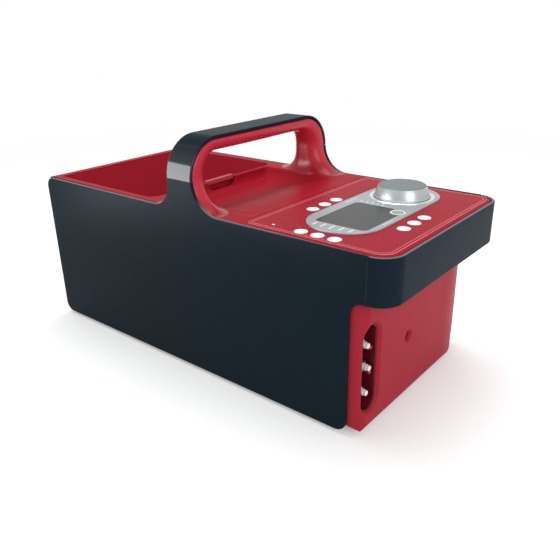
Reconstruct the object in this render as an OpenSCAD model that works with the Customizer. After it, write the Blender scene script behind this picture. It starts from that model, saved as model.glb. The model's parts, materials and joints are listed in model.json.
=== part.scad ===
// Hot and cold therapy control unit: black carrying shell round a red housing, with an ice
// reservoir under a hinged lid, a control panel with a knob, and a three-nozzle hose socket.
// +X is the control end, +Y the side away from the hose socket, +Z up. Millimetres.

/* [Body] */
// Overall length, rear of the side panels to the front band
body_l = 413; // [400:1:440]
// Overall width over the side panels
body_w = 197; // [190:1:215]
// Height of the deck over the lower edge of the side panels
deck_h = 154.3; // [150:0.1:170]
// Thickness of the black shell panels and of the handle strap
shell_t = 3; // [2.4:0.1:4]
// Wall of the red housing and of the decks
wall = 3; // [2.4:0.1:3.6]
// How far the front band stands ahead of the housing's front face
face_back = 21.5; // [18:0.1:28]
// Radius of the housing's upright front corner on the socket side
face_r = 10; // [6:0.5:12]
// Radius of the gentle curve that the front face ends in on the other side
crown_r = 100; // [85:1:160]
// Where that curve starts along Y
crown_y = 48; // [40:0.5:60]
// Radius of the housing's bottom front edge
keel_r = 7; // [5:0.5:12]
// Radius of the housing's long bottom edges
bilge_r = 10; // [5:0.5:14]
// How far the rear wall stands inside the side panels' rear edges
rear_back = 1.5; // [0.5:0.1:4]

/* [Side panels] */
// How far the side panels' front edge stands behind the band
panel_back = 33.5; // [31:0.1:36]
// Radius of the side panels' outer corners
panel_r = 10; // [5:0.5:14]
// Radius of the inside corner under the band
tuck_r = 12; // [6:0.5:12]
// Height of the front band
band_h = 38.1; // [30:0.1:46]
// Plan radius of the band's corners
band_r = 19.5; // [15:0.5:21]
// Thickness of the band's underside
band_lip = 2.5; // [2:0.1:3.5]

/* [Handle] */
// Height of the handle's top over the deck
handle_h = 60.4; // [56:0.1:75]
// Width of the handle strap, front to back
handle_w = 29.6; // [24:0.1:34]
// Radius of the strap's upper corners
handle_r = 34; // [30:0.5:38]
// Radius of the handle's rear foot
foot_r_rear = 21; // [14:0.5:24]
// Radius of the handle's front foot
foot_r_front = 28; // [20:0.5:34]
// Thickness of the red grip under the strap
grip_t = 11.2; // [9:0.1:15]
// Thickness of the grip's legs, side to side
leg_t = 18.5; // [14:0.5:30]
// Radius of the hand opening's upper corners
gap_r = 18; // [12:0.5:22]
// Radius of the hand opening's lower corners
gap_foot_r = 26; // [12.5:0.5:28]

/* [Saddle under the handle] */
// Depth of the saddle below the deck
saddle_h = 12; // [8:0.1:14]
// Rear edge of the saddle
saddle_x0 = -47; // [-47.5:0.5:-44]
// Distance from the saddle's front end to the seam
saddle_front = 10.5; // [8:0.5:20]
// Radius at the foot of the saddle's rear wall
saddle_r = 9; // [5:0.5:9]
// Length of the control deck, from its seam to the front of the band
panel_l = 141; // [138:0.5:145]
// Gap of the seams
seam = 0.3; // [0.2:0.05:0.5]

/* [Lid and reservoir] */
// Distance from the rear of the body to the lid
lid_rear = 12.5; // [10.5:0.5:16]
// Distance from the lid to the saddle
lid_front = 5; // [4.5:0.5:9]
// Distance from the lid to the side of the body
lid_side = 13.5; // [12.5:0.5:18]
// Corner radius of the lid
lid_r = 9; // [5:0.5:14]
// Gap round the lid
lid_gap = 0.4; // [0.3:0.05:0.8]
// Radius of the hinge barrel along the lid's rear edge
barrel_r = 4; // [3.5:0.1:4.4]
// Radius of the hinge pins
pin_r = 1.5; // [1.2:0.05:1.8]
// Length of each hinge pin
pin_l = 14; // [12:0.5:16]
// Depth of the skirt under the lid
skirt_h = 8; // [5:0.5:12]
// Width of the pull on the lid's front edge
pull_w = 40; // [30:1:48]
// Centre of the pull along Y
pull_y = 2; // [-10:0.5:10]
// Depth of the finger scoop under the pull
scoop_h = 9; // [6:0.5:10]
// Width of the lid seal
seal_w = 3; // [2:0.1:3.4]
// Wall of the reservoir tub
tub_wall = 3; // [2:0.1:4]
// Height of the reservoir's floor over the underside of the housing
tub_lift = 13.3; // [12:0.1:30]

/* [Control panel] */
// Thickness of the printed panel film
film_t = 0.5; // [0.3:0.05:0.8]
// Margin from the film to the deck's edge
film_margin = 4.3; // [3.5:0.1:7]
// Distance from the bezel's centre line to the front of the band
bezel_back = 73; // [71.5:0.5:80]
// Width of the display bezel
bezel_w = 66; // [60:0.5:68]
// Distance from the bezel's near end to the black shell
bezel_near = 20.5; // [19:0.5:24]
// Distance from the bezel's far end to the black shell
bezel_far = 12.5; // [9.5:0.5:15]
// Thickness of the display bezel
bezel_t = 1.4; // [1:0.1:2]
// Width of the display window along X
window_w = 48.5; // [40:0.5:50]
// Length of the display window along Y
window_l = 65; // [54:0.5:66]
// Distance from the knob's centre to the front of the band
knob_back = 71.5; // [70.5:0.5:76]
// Distance from the knob's centre to the centre of the bezel's round far end
knob_in = 4.5; // [3:0.5:9]
// Radius of the knob at its foot
knob_r0 = 25; // [22:0.5:26]
// Radius of the knob at its top
knob_r1 = 20.5; // [17:0.5:21]
// Height of the knob
knob_h = 10.8; // [8:0.1:15]
// Radius of the panel buttons
button_r = 5.5; // [4.5:0.1:6.4]
// Travel of the panel buttons
button_travel = 0.6; // [0.3:0.05:0.7]
// Radius of the select button on the bezel
select_r = 4.2; // [3.5:0.1:4.6]

/* [Hose socket] */
// Width of the socket's opening
socket_w = 21; // [20:0.5:21.5]
// Height of the socket's opening
socket_h = 77; // [74:0.5:80]
// Width of the bevel round the socket's opening
socket_rim = 2.5; // [1.5:0.1:2.8]
// Distance from the socket's centre to the near edge of the front face
socket_in = 14.1; // [14:0.1:16.5]
// Centre of the socket over the side panels' lower edge
socket_z = 55.2; // [52:0.1:58]
// Depth of the socket behind the front face
socket_d = 28; // [24:0.5:34]
// Spacing of the nozzles
nozzle_pitch = 21.2; // [19:0.1:22]
// Outer radius of the nozzle barrels
nozzle_r = 4; // [3.6:0.1:4.4]
// Radius of the spring-loaded nozzle valves
valve_r = 2.7; // [2.2:0.05:3]
// Travel of the nozzle valves
valve_travel = 2.5; // [1.5:0.1:3]
// Radius of the power inlet's hole
inlet_r = 4.2; // [3.5:0.1:5]
// Depth of the power inlet's sleeve behind the front wall
inlet_sleeve = 5; // [3:0.5:8]
// Centre of the power inlet along Y
inlet_y = -22.7; // [-30:0.1:0]
// Centre of the power inlet over the side panels' lower edge
inlet_z = 59; // [45:0.5:75]

/* [Feet] */
// Height of the rubber feet below the housing
foot_h = 3; // [2.4:0.1:6]
// Radius of the rubber feet
foot_r = 8; // [6:0.5:11]

/* [Hidden] */
$fn = 96;
eps = 0.5;              // how far a cutter runs past the face that it cuts
fit = 0.05;             // radial clearance of a running fit
side_z = foot_h;
deck_z = side_z + deck_h;
keel_z = foot_h;
x_rear = -body_l / 2;
x_band = body_l / 2;
x_face = x_band - face_back;
x_panel = x_band - panel_back;
x_wall = x_rear + rear_back;
y_side = body_w / 2;
y_in = y_side - shell_t;
band_z = deck_z - band_h;
strap_z = deck_z + handle_h - handle_r;
plate_z = deck_z - wall;
gap_y = y_in - leg_t;   // half width of the hand opening
seam_x = x_band - panel_l;
saddle_x1 = seam_x - saddle_front;
lid_x0 = x_rear + lid_rear;
lid_x1 = saddle_x0 - lid_front;
lid_y = y_side - lid_side;
hinge_x = lid_x0 + barrel_r;
hinge_z = deck_z - barrel_r;
bezel_x = x_band - bezel_back;
bezel_y0 = bezel_near + bezel_w / 2 - y_in;
bezel_y1 = y_in - bezel_far - bezel_w / 2;
knob_x = x_band - knob_back;
knob_y = bezel_y1 - knob_in;
socket_y = socket_in - y_in;
x_tip = x_face - 3;   // front of the nozzle valves, just inside the socket's mouth
x_cup = x_face - socket_d;
board_t = 1.6;
board_gap = 4.2;        // from the deck's underside down to the control board
board_z = plate_z - board_gap - board_t;
film_z = deck_z + film_t;
bezel_z = film_z + bezel_t;
button_up = 0.35;       // how far a button stands over the film
foot_seat = 1;          // how far the feet are let into the housing
flange_t = 1;
flange_grow = 1.2;
sw_w = 6;               // width of a tactile switch
ring_t = 0.7;
ring_w = 4;
shaft_r = 3;
neck_r = 4.1;           // encoder's threaded neck, through the panel
button_fit = 0.15;
encoder_w = 14;
shaft_up = 2;           // foot of the encoder's shaft over the board
window_ledge = 1.5;     // how far the window rests on the deck round its opening
nozzle_y = [for (out = [0.6, -2.4, 0.6]) socket_y - out];
nozzle_row = [1, 0, -1];
nozzle_drop = 1.3;      // how far the middle nozzle lies under the socket's centre
guide_y = socket_y + 6.5;
guide_z = [14.8, -7.3]; // from the socket's centre
guide_r = 1.9;
key_pitch = [15.6, 17.7, 17.2];     // near, rear and front row of buttons
near_row = [bezel_x + 0.5, 15.1 - y_side];
rear_row = [seam_x + 25.7, -12.3];
front_row = [x_band - 28, -14];
keys_near = [for (i = [-1:1]) near_row + [key_pitch[0] * i, 0]];
keys_rear = [for (i = [-1:1]) rear_row + [0, key_pitch[1] * i]];
keys_front = [for (i = [-1:1]) front_row + [0, key_pitch[2] * i]];
keys = concat(keys_near, keys_rear, keys_front);
select_at = [bezel_x + 23, -1];
led_at = [seam_x + 24.9, 16.1 - y_side];
led_r = 1.5;
window_x = bezel_x + 2.75;
window_y = bezel_y0 + 16.5;
board_x0 = seam_x + 6.5;
board_x1 = x_band - 14.5;
board_y0 = 5.5 - y_in;
board_y1 = y_in - 13.5;
board_screw_r = 1.1;
board_screw_at = [for (x = [board_x0 + 6, board_x1 - 6]) for (y = [board_y0 + 18, board_y1 - 6]) [x, y]];
tray_x0 = saddle_x0 + 1;
tray_x1 = x_face - 31;
tray_y = y_in - 15.5;
tray_screw_r = 1.8;
tray_screw_at = [for (x = [tray_x0 + 10, (tray_x0 + tray_x1) / 2 - 4, tray_x1 - 26])
    for (y = [10 - tray_y, tray_y - 10]) [x, y]];
foot_at = [for (x = [x_rear + 41.5, x_face - 35]) for (y = [32.5 - y_side, y_side - 32.5]) [x, y]];
tray_t = 2.5;
tray_z = keel_z + wall;
tray_top = tray_z + tray_t;
tub_z1 = plate_z;                 // top of the tub's flange, under the deck
ledge_h = 1.3;                    // how far the seal's ledge lies under the deck plate
ledge_z = tub_z1 - ledge_h;
flange_h = 7;
mouth_x0 = lid_x0 + 14;
mouth_x1 = lid_x1 - 8;
mouth_y = lid_y - 8;
tub_x0 = hinge_x - 1;
tub_x1 = lid_x1 - 3;
tub_y = lid_y - 2;
tub_floor = keel_z + tub_lift;
tub_h = tub_z1 - tub_floor;
lug_l = 6;
spigot_r = 5;
air_spigot_r = 3.5;
spigot_t = 1.8;
spigot_z = tub_floor + 14;
outlet_y = tub_y - 45;
return_y = 23 - tub_y;
return_z = tub_z1 - 24;
pump_r = 27;
pump_l = 52;
pump_head = 14;
pump_neck = 10;                   // reach of the water pump's inlet ahead of its head
pump_up = 34;
pump_at = [tray_x0 + 41, outlet_y, tray_top + pump_up];
air_l = 78;
air_w = 46;
air_head = [24, 40, 46];
air_head_x = 47;
air_cap = [16, 32, 8];
air_neck = 8;
air_at = [tray_x0 + 10, 14 - tray_y, tray_top];
air_port = [air_head_x + air_head[0] / 2, air_w / 2, air_head[2] + air_cap[2] + air_neck];
block = [76, 34, 24];
block_ports = [for (x = [7, block[0] - 7]) [x, 12, block[2] + 6]];
valves_at = air_at + [air_l + 10, 12, 0];
mainboard = [90, 64];
mainboard_at = [tray_x1 - mainboard[0] - 2, tray_y - mainboard[1] - 10, tray_top];
hose_r = 4.5;

black = "#1f272d";
red = "#b0323f";
dark_red = "#8c1a24";
silver = "#c3c8ca";
grey = "#6d7274";
white = "#eef0f0";
rubber = "#17181a";
board_green = "#1f5d3a";
natural = "#d8d5cc";

// ---------- shared shapes ----------

// Turns a drawing in the XZ plane into a plate from y0 to y1
module along_y(y0, y1) {
    translate([0, y1, 0]) rotate([90, 0, 0]) linear_extrude(y1 - y0) children();
}

// Turns a drawing in the YZ plane into a bar from x0 to x1
module along_x(x0, x1) {
    translate([x0, 0, 0]) rotate([90, 0, 90]) linear_extrude(x1 - x0) children();
}

// Rectangle between two corners with round corners of radius r
module round_rect(x0, y0, x1, y1, r) {
    translate([x0 + r, y0]) square([x1 - x0 - 2 * r, y1 - y0]);
    translate([x0, y0 + r]) square([x1 - x0, y1 - y0 - 2 * r]);
    for (x = [x0 + r, x1 - r]) for (y = [y0 + r, y1 - r]) translate([x, y]) circle(r);
}

// Stadium with its long axis along Y of the drawing
module stadium(w, y0, y1) {
    translate([-w / 2, y0]) square([w, y1 - y0]);
    for (y = [y0, y1]) translate([0, y]) circle(w / 2);
}

// Concave corner piece: fills the angle between two edges with radius r towards +x +y
module cove(r) {
    difference() {
        square(r);
        translate([r, r]) circle(r);
    }
}

// Pan-head screw with its head's underside at the origin and its shank down -Z
module screw(r, l, head_r, head_h) {
    difference() {
        union() {
            cylinder(r = head_r, h = head_h);
            translate([0, 0, -l]) cylinder(r = r, h = l);
        }
        translate([-head_r * 0.6, -0.4, head_h * 0.5]) cube([head_r * 1.2, 0.8, head_h]);
        translate([-0.4, -head_r * 0.6, head_h * 0.5]) cube([0.8, head_r * 1.2, head_h]);
    }
}

// ---------- black shell ----------

module panel_outline() {
    x0 = x_panel - panel_r - eps;
    round_rect(x_rear, side_z, x_panel, deck_z, panel_r);
    translate([x0, band_z]) square([x_band - band_r - x0, band_h]);
    translate([x_panel, band_z]) mirror([0, 1]) cove(tuck_r);
    translate([-handle_w / 2, deck_z - eps]) square([handle_w, strap_z - deck_z + eps]);
    translate([handle_w / 2, deck_z]) cove(foot_r_front);
    translate([-handle_w / 2, deck_z]) mirror([1, 0]) cove(foot_r_rear);
}

module side_panel() {
    color(black) along_y(-y_side, -y_in) panel_outline();
}

module side_panel_near() {
    side_panel();
}

module side_panel_far() {
    mirror([0, 1, 0]) side_panel();
}

// Plan of the band: square at the rear, round at the front corners
module band_plan(x0, inset) {
    r = band_r - inset;
    x1 = x_band - inset;
    y1 = y_side - inset;
    intersection() {
        translate([x0, -y1]) square([x1 - x0, 2 * y1]);
        union() {
            translate([x0 - r, -y1]) square([x1 - x0, 2 * y1]);
            translate([x0, r - y1]) square([x1 - x0, 2 * (y1 - r)]);
            for (s = [-1, 1]) translate([x1 - r, s * (y1 - r)]) circle(r);
        }
    }
}

// Plan of the housing's front end, grown by a clearance
module face_plan(x0, grow) {
    y1 = y_in + min(grow, 0);
    x1 = x_face + grow;
    x_far = x_face - crown_r + sqrt(pow(crown_r + grow, 2) - pow(y1 - crown_y, 2));
    translate([x0, -y1]) square([x_far - x0, 2 * y1]);
    translate([x0, face_r - y_in]) square([x1 - x0, crown_y + y_in - face_r]);
    intersection() {
        union() {
            translate([x_face - face_r, face_r - y_in]) circle(face_r + grow);
            translate([x0, -y1]) square([x_face - face_r - x0, y1]);
        }
        translate([x0, -y1]) square([x1 - x0, y1]);
    }
    intersection() {
        translate([x_face - crown_r, crown_y]) circle(crown_r + grow, $fn = 360);
        translate([x_face - face_r - eps, crown_y - eps]) square([crown_r, y1 - crown_y + eps]);
    }
}

module front_band() {
    ledge = 2.5;
    x0 = x_band - band_r;
    color(black) difference() {
        union() {
            translate([0, 0, band_z]) linear_extrude(band_h) band_plan(x0, 0);
            translate([x_panel, -y_in, band_z]) cube([x0 - x_panel + 1, 2 * y_in, band_lip]);
        }
        translate([0, 0, band_z - eps]) linear_extrude(band_lip + 2 * eps) face_plan(x_panel - eps, seam);
        translate([0, 0, band_z + band_lip]) linear_extrude(band_h) band_plan(x0 - eps, shell_t + ledge);
        translate([0, 0, band_z + band_lip]) linear_extrude(plate_z - ledge - band_z - band_lip)
            band_plan(x0 - eps, shell_t);
        translate([0, 0, plate_z]) linear_extrude(band_h) band_plan(x0 - eps, shell_t);
    }
}

module strap_profile(inset) {
    y1 = y_side - inset;
    z1 = deck_z + handle_h - inset;
    r = handle_r - inset;
    translate([-y1 + r, strap_z]) square([2 * (y1 - r), z1 - strap_z]);
    intersection() {
        for (s = [-1, 1]) translate([s * (y1 - r), strap_z]) circle(r);
        translate([-y1, strap_z]) square([2 * y1, z1 - strap_z]);
    }
}

module handle_strap() {
    color(black) along_x(-handle_w / 2, handle_w / 2) difference() {
        strap_profile(0);
        strap_profile(shell_t);
        translate([shell_t - y_side, strap_z - eps]) square([2 * y_in, 2 * eps]);
    }
}

// ---------- red grip: a loft round the hand opening ----------

grip_top = deck_z + handle_h - shell_t;
gap_top = grip_top - grip_t;
edge_r = 2.5;                      // rounding beside the strap
palm_r = 12;                       // rounding towards the hand
leg_steps = 12;
arc_steps = 12;
bar_steps = 4;
outer_cy = y_in - (handle_r - shell_t);
inner_cy = gap_y - gap_r;
inner_cz = gap_top - gap_r;

// How far a foot of radius r stands out at height z over the deck
function flare(r, z) = z >= r ? 0 : r - sqrt(r * r - (r - z) * (r - z));
// Inner face of a leg at height z over the deck
function leg_in(z) = z >= gap_foot_r - saddle_h ? gap_y
    : gap_y - gap_foot_r + sqrt(pow(gap_foot_r, 2) - pow(gap_foot_r - saddle_h - z, 2));
// One ring: outer point, inner point, rear and front reach, reach of the foot into the opening
function leg_ring(u) = let (zo = (strap_z - deck_z) * u, zi = (inner_cz - deck_z) * u)
    [[y_in, deck_z + zo], [leg_in(zi), deck_z + zi],
        handle_w / 2 + flare(foot_r_rear, zo), handle_w / 2 + flare(foot_r_front, zo),
        gap_y - leg_in(zi)];
function arc_ring(a) =
    [[outer_cy + (handle_r - shell_t) * cos(a), strap_z + (handle_r - shell_t) * sin(a)],
        [inner_cy + gap_r * cos(a), inner_cz + gap_r * sin(a)], handle_w / 2, handle_w / 2, 0];
function bar_ring(u) =
    [[outer_cy * u, grip_top], [inner_cy * u, gap_top], handle_w / 2, handle_w / 2, 0];
function flip(ring) =
    [[-ring[0][0], ring[0][1]], [-ring[1][0], ring[1][1]], ring[2], ring[3], ring[4]];
half_rings = concat(
    [for (i = [0:leg_steps]) leg_ring(pow(i / leg_steps, 1.6))],
    [for (i = [1:arc_steps]) arc_ring(90 * i / arc_steps)],
    [for (i = [1:bar_steps - 1]) bar_ring(1 - i / bar_steps)]);
grip_rings = concat(half_rings, [bar_ring(0)],
    [for (i = [len(half_rings) - 1:-1:0]) flip(half_rings[i])]);

// Quarter of an ellipse with the half axes r, centred on c
function corner(c, r, a0, a1, n) = [for (i = [0:n]) let (a = a0 + (a1 - a0) * i / n)
    [c[0] + r[0] * cos(a), c[1] + r[1] * sin(a)]];
// Section of the grip: x across the handle, second value from the strap inwards
function grip_section(rear, front, t, foot) = let (
    e = edge_r,
    p = min(palm_r, t - e - 0.3),
    y = min(p + foot, t - e - 0.3),
    f = p + front - handle_w / 2,
    b = p + rear - handle_w / 2) concat(
    corner([front - e, e], [e, e], -90, 0, 2),
    corner([front - f, t - y], [f, y], 0, 90, 8),
    corner([b - rear, t - y], [b, y], 90, 180, 8),
    corner([e - rear, e], [e, e], 180, 270, 2));
function ring_points(ring) = let (o = ring[0], v = ring[1] - ring[0], t = norm(v))
    [for (q = grip_section(ring[2], ring[3], t, ring[4]))
        [q[0], o[0] + v[0] * q[1] / t, o[1] + v[1] * q[1] / t]];

// Skin over rings of equal length, closed by flat ends
module skin(rings) {
    n = len(rings[0]);
    m = len(rings);
    polyhedron(points = [for (r = rings) each r], faces = concat(
        [[for (i = [0:n - 1]) i]],
        [for (k = [0:m - 2]) for (i = [0:n - 1]) let (j = (i + 1) % n)
            each [[k * n + i, (k + 1) * n + i, k * n + j], [k * n + j, (k + 1) * n + i, (k + 1) * n + j]]],
        [[for (i = [n - 1:-1:0]) (m - 1) * n + i]]));
}

module handle_grip() {
    color(red) skin([for (r = grip_rings) ring_points(r)]);
}

// ---------- housing ----------

module housing_block(inset, z1) {
    y1 = y_in - inset;
    intersection() {
        translate([0, 0, keel_z]) linear_extrude(z1 - keel_z) intersection() {
            face_plan(x_wall, -inset);
            translate([x_wall + inset, -y1]) square([x_face - x_wall, 2 * y1]);
        }
        along_y(-y_side, y_side)
            round_rect(x_wall + inset, keel_z + inset, x_face - inset, deck_z + keel_r, keel_r - inset);
        along_x(x_rear, x_band)
            round_rect(-y1, keel_z + inset, y1, deck_z + bilge_r, bilge_r - inset);
    }
}

module socket_outline(grow) {
    stadium(socket_w + 2 * grow, -socket_h / 2 + socket_w / 2, socket_h / 2 - socket_w / 2);
}

module at_socket() {
    translate([0, socket_y, side_z + socket_z]) children();
}

// Front face at the power inlet, with the inlet's axis along Z
module at_inlet() {
    translate([x_face, inlet_y, side_z + inlet_z]) rotate([0, 90, 0]) children();
}

module lower_housing() {
    dish = 2;
    front_z = band_z + band_lip + 3;   // top of the front wall, inside the band
    color(red) difference() {
        union() {
            difference() {
                housing_block(0, plate_z);
                housing_block(wall, plate_z + eps);
            }
            at_inlet() translate([0, 0, -inlet_sleeve - wall]) cylinder(r = inlet_r + 2.5, h = inlet_sleeve + eps);
        }
        translate([x_wall + 2 * wall, wall - y_in, front_z]) cube([body_l, 2 * (y_in - wall), deck_h]);
        at_socket() along_x(x_face - face_r - eps, x_face + eps) socket_outline(0);
        at_socket() socket_bevel(socket_rim);
        at_inlet() {
            translate([0, 0, -inlet_sleeve - wall - eps]) cylinder(r = inlet_r, h = inlet_sleeve + wall + 2 * eps);
            translate([0, 0, -dish]) cylinder(r1 = inlet_r, r2 = inlet_r + dish + eps, h = dish + eps);
        }
        for (p = tray_screw_at) translate([p[0], p[1], keel_z - eps])
            cylinder(r = tray_screw_r + 0.4, h = wall + 2 * eps);
        for (p = foot_at) translate([p[0], p[1], keel_z - eps]) cylinder(r = foot_r + 0.2, h = foot_seat + eps);
    }
}

// Flared mouth of the socket, cut as a ring of cones and wedges
module socket_bevel(rim) {
    y_r = socket_w / 2;
    zc = socket_h / 2 - y_r;
    for (z = [-zc, zc]) translate([x_face - rim, 0, z]) rotate([0, 90, 0])
        cylinder(r1 = y_r, r2 = y_r + rim + eps, h = rim + eps);
    translate([0, 0, -zc]) linear_extrude(2 * zc)
        polygon([[x_face - rim, -y_r], [x_face - rim, y_r],
            [x_face + eps, y_r + rim + eps], [x_face + eps, -y_r - rim - eps]]);
}

// ---------- decks ----------

saddle_xd = saddle_x0 + saddle_r + 10;
saddle_xm = (saddle_xd + saddle_x1) / 2;
saddle_span = saddle_x1 - saddle_xd;
saddle_curve = (pow(saddle_span, 2) + pow(saddle_h, 2)) / (4 * saddle_h);

// Side view of the saddle's hollow, with the deck's surface at 0
module saddle_hollow() {
    difference() {
        union() {
            translate([saddle_x0 + saddle_r, -saddle_h])
                square([saddle_x1 - saddle_x0 - saddle_r, saddle_h + eps]);
            translate([saddle_x0, saddle_r - saddle_h]) square([saddle_r + 1, saddle_h - saddle_r + eps]);
            translate([saddle_x0 + saddle_r, saddle_r - saddle_h]) circle(saddle_r);
        }
        difference() {
            translate([saddle_xd, -saddle_h - 1]) square([saddle_xm - saddle_xd, saddle_h / 2 + 1]);
            translate([saddle_xd, saddle_curve - saddle_h]) circle(saddle_curve, $fn = 360);
        }
        intersection() {
            translate([saddle_xm, -saddle_h - 1]) square([saddle_x1 - saddle_xm + 1, saddle_h + 1]);
            translate([saddle_x1, -saddle_curve]) circle(saddle_curve, $fn = 360);
        }
    }
}

// Cross view of the saddle's hollow: its ends run up into the handle's legs
module saddle_ends() {
    r = gap_foot_r;
    translate([r - gap_y, -saddle_h]) square([2 * (gap_y - r), saddle_h + eps]);
    intersection() {
        for (s = [-1, 1]) translate([s * (gap_y - r), r - saddle_h]) circle(r);
        translate([-gap_y, -saddle_h]) square([2 * gap_y, saddle_h + eps]);
    }
}

// Pocket for the fingers under the lid's pull, open to the saddle
module scoop(grow, top, x1) {
    x0 = lid_x1 - 1.5 - grow;
    along_x(x0, x1) intersection() {
        round_rect(pull_y - pull_w / 2 - grow, deck_z - scoop_h - grow, pull_y + pull_w / 2 + grow,
            deck_z + scoop_h, scoop_h * 0.6);
        translate([-y_side, deck_z - deck_h]) square([body_w, deck_h + top]);
    }
}

module lid_opening(grow) {
    round_rect(lid_x0 - grow, -lid_y - grow, lid_x1 + grow, lid_y + grow, lid_r + grow);
    translate([lid_x0 - grow, -lid_y - grow]) square([2 * lid_r, 2 * (lid_y + grow)]);
}

module hinge_lug(s) {
    y0 = lid_y + lid_gap;
    translate([hinge_x - barrel_r, s > 0 ? y0 : -y0 - lug_l, hinge_z - barrel_r + 0.5])
        cube([2 * barrel_r, lug_l, barrel_r + plate_z - hinge_z]);
}

module top_deck() {
    color(red) difference() {
        union() {
            translate([x_wall, -y_in, plate_z]) cube([seam_x - x_wall - seam, 2 * y_in, wall]);
            translate([0, 0, deck_z]) along_y(-y_in + wall + 3, y_in - wall - 3) polygon([
                [saddle_x0 - wall, -wall], [saddle_x0 - wall, -saddle_h - wall],
                [saddle_xd + 12, -saddle_h - wall], [saddle_x1, -wall]]);
            scoop(1.5, -eps, saddle_x0 - 1);
            for (s = [-1, 1]) hinge_lug(s);
        }
        translate([0, 0, plate_z - eps]) linear_extrude(wall + 2 * eps) lid_opening(lid_gap);
        // eased rear edge, for the lid to lean back
        translate([lid_x0 - lid_gap, 0, deck_z]) along_y(-lid_y, lid_y)
            polygon([[0.1, 0.1], [0.1, -wall], [-1.3, 0.1]]);
        intersection() {
            translate([0, 0, deck_z]) along_y(-y_in, y_in) saddle_hollow();
            translate([0, 0, deck_z]) along_x(x_rear, x_band) saddle_ends();
        }
        scoop(0, eps, saddle_x0 + saddle_r / 2);
        translate([hinge_x, 0, hinge_z]) rotate([90, 0, 0])
            cylinder(r = pin_r, h = body_w, center = true);
    }
}

module control_plan(x0, inset) {
    band_plan(x0, shell_t + inset);
}

// Everything that passes through the panel: window, buttons, light and encoder
module panel_holes() {
    window_plan(-window_ledge);
    for (k = keys) translate(k) circle(button_r + button_fit);
    translate(select_at) circle(select_r + button_fit);
    translate(led_at) circle(led_r + fit);
    translate([knob_x, knob_y]) circle(neck_r + fit);
}

module control_deck() {
    color(red) {
        translate([0, 0, plate_z]) linear_extrude(wall) difference() {
            control_plan(seam_x, seam);
            panel_holes();
        }
        for (p = board_screw_at) translate([p[0], p[1], board_z + board_t]) difference() {
            cylinder(r = board_screw_r + 2.1, h = board_gap);
            translate([0, 0, -eps]) cylinder(r = board_screw_r, h = board_gap);
        }
    }
}

module film_plan() {
    intersection() {
        control_plan(seam_x, film_margin);
        round_rect(seam_x + film_margin, -y_side, x_band + y_side, y_side, film_margin);
        round_rect(seam_x + film_margin, film_margin - y_in, x_band, y_in - film_margin, 2);
    }
}

module panel_film() {
    color(red) translate([0, 0, deck_z]) linear_extrude(film_t) difference() {
        film_plan();
        panel_holes();
    }
}

// ---------- lid ----------

module lid() {
    skirt_gap = 2;
    skirt_t = 2.5;
    color(dark_red) difference() {
        union() {
            translate([0, 0, plate_z]) linear_extrude(wall) intersection() {
                lid_opening(0);
                translate([hinge_x, -lid_y]) square([lid_x1 - hinge_x, 2 * lid_y]);
            }
            translate([hinge_x, 0, hinge_z]) rotate([90, 0, 0])
                cylinder(r = barrel_r, h = 2 * lid_y, center = true);
            translate([0, 0, plate_z - skirt_h]) linear_extrude(skirt_h + eps) difference() {
                round_rect(mouth_x0 + skirt_gap, -mouth_y + skirt_gap, mouth_x1 - skirt_gap,
                    mouth_y - skirt_gap, 8);
                round_rect(mouth_x0 + skirt_gap + skirt_t, -mouth_y + skirt_gap + skirt_t,
                    mouth_x1 - skirt_gap - skirt_t, mouth_y - skirt_gap - skirt_t, 5.5);
            }
            pull();
        }
        translate([hinge_x, 0, hinge_z]) rotate([90, 0, 0])
            cylinder(r = pin_r + fit, h = body_w, center = true);
    }
}

// Pull along the lid's front edge, standing a little proud
module pull() {
    r = 1.9;
    for (s = [-1, 1]) translate([lid_x1 + 1.6, pull_y + s * (pull_w / 2 - r), deck_z - 1.2]) sphere(r);
    translate([lid_x1 + 1.6, pull_y, deck_z - 1.2]) rotate([90, 0, 0])
        cylinder(r = r, h = pull_w - 2 * r, center = true);
    translate([lid_x1 - 1, pull_y - pull_w / 2 + r, plate_z]) cube([2.6, pull_w - 2 * r, wall - 1]);
}

module lid_seal() {
    color(rubber) translate([0, 0, ledge_z + fit]) linear_extrude(ledge_h - fit) difference() {
        round_rect(mouth_x0 - 1 - seal_w, -mouth_y - 1.5 - seal_w, mouth_x1 + 1.5 + seal_w,
            mouth_y + 1.5 + seal_w, 8);
        round_rect(mouth_x0 - 1, -mouth_y - 1.5, mouth_x1 + 1.5, mouth_y + 1.5, 6);
    }
}

module lid_hinge_pins() {
    y0 = lid_y + lid_gap + lug_l;
    color(silver) for (s = [-1, 1]) translate([hinge_x, s * (y0 - pin_l / 2), hinge_z])
        rotate([90, 0, 0]) cylinder(r = pin_r, h = pin_l, center = true);
}

// ---------- reservoir ----------

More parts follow.
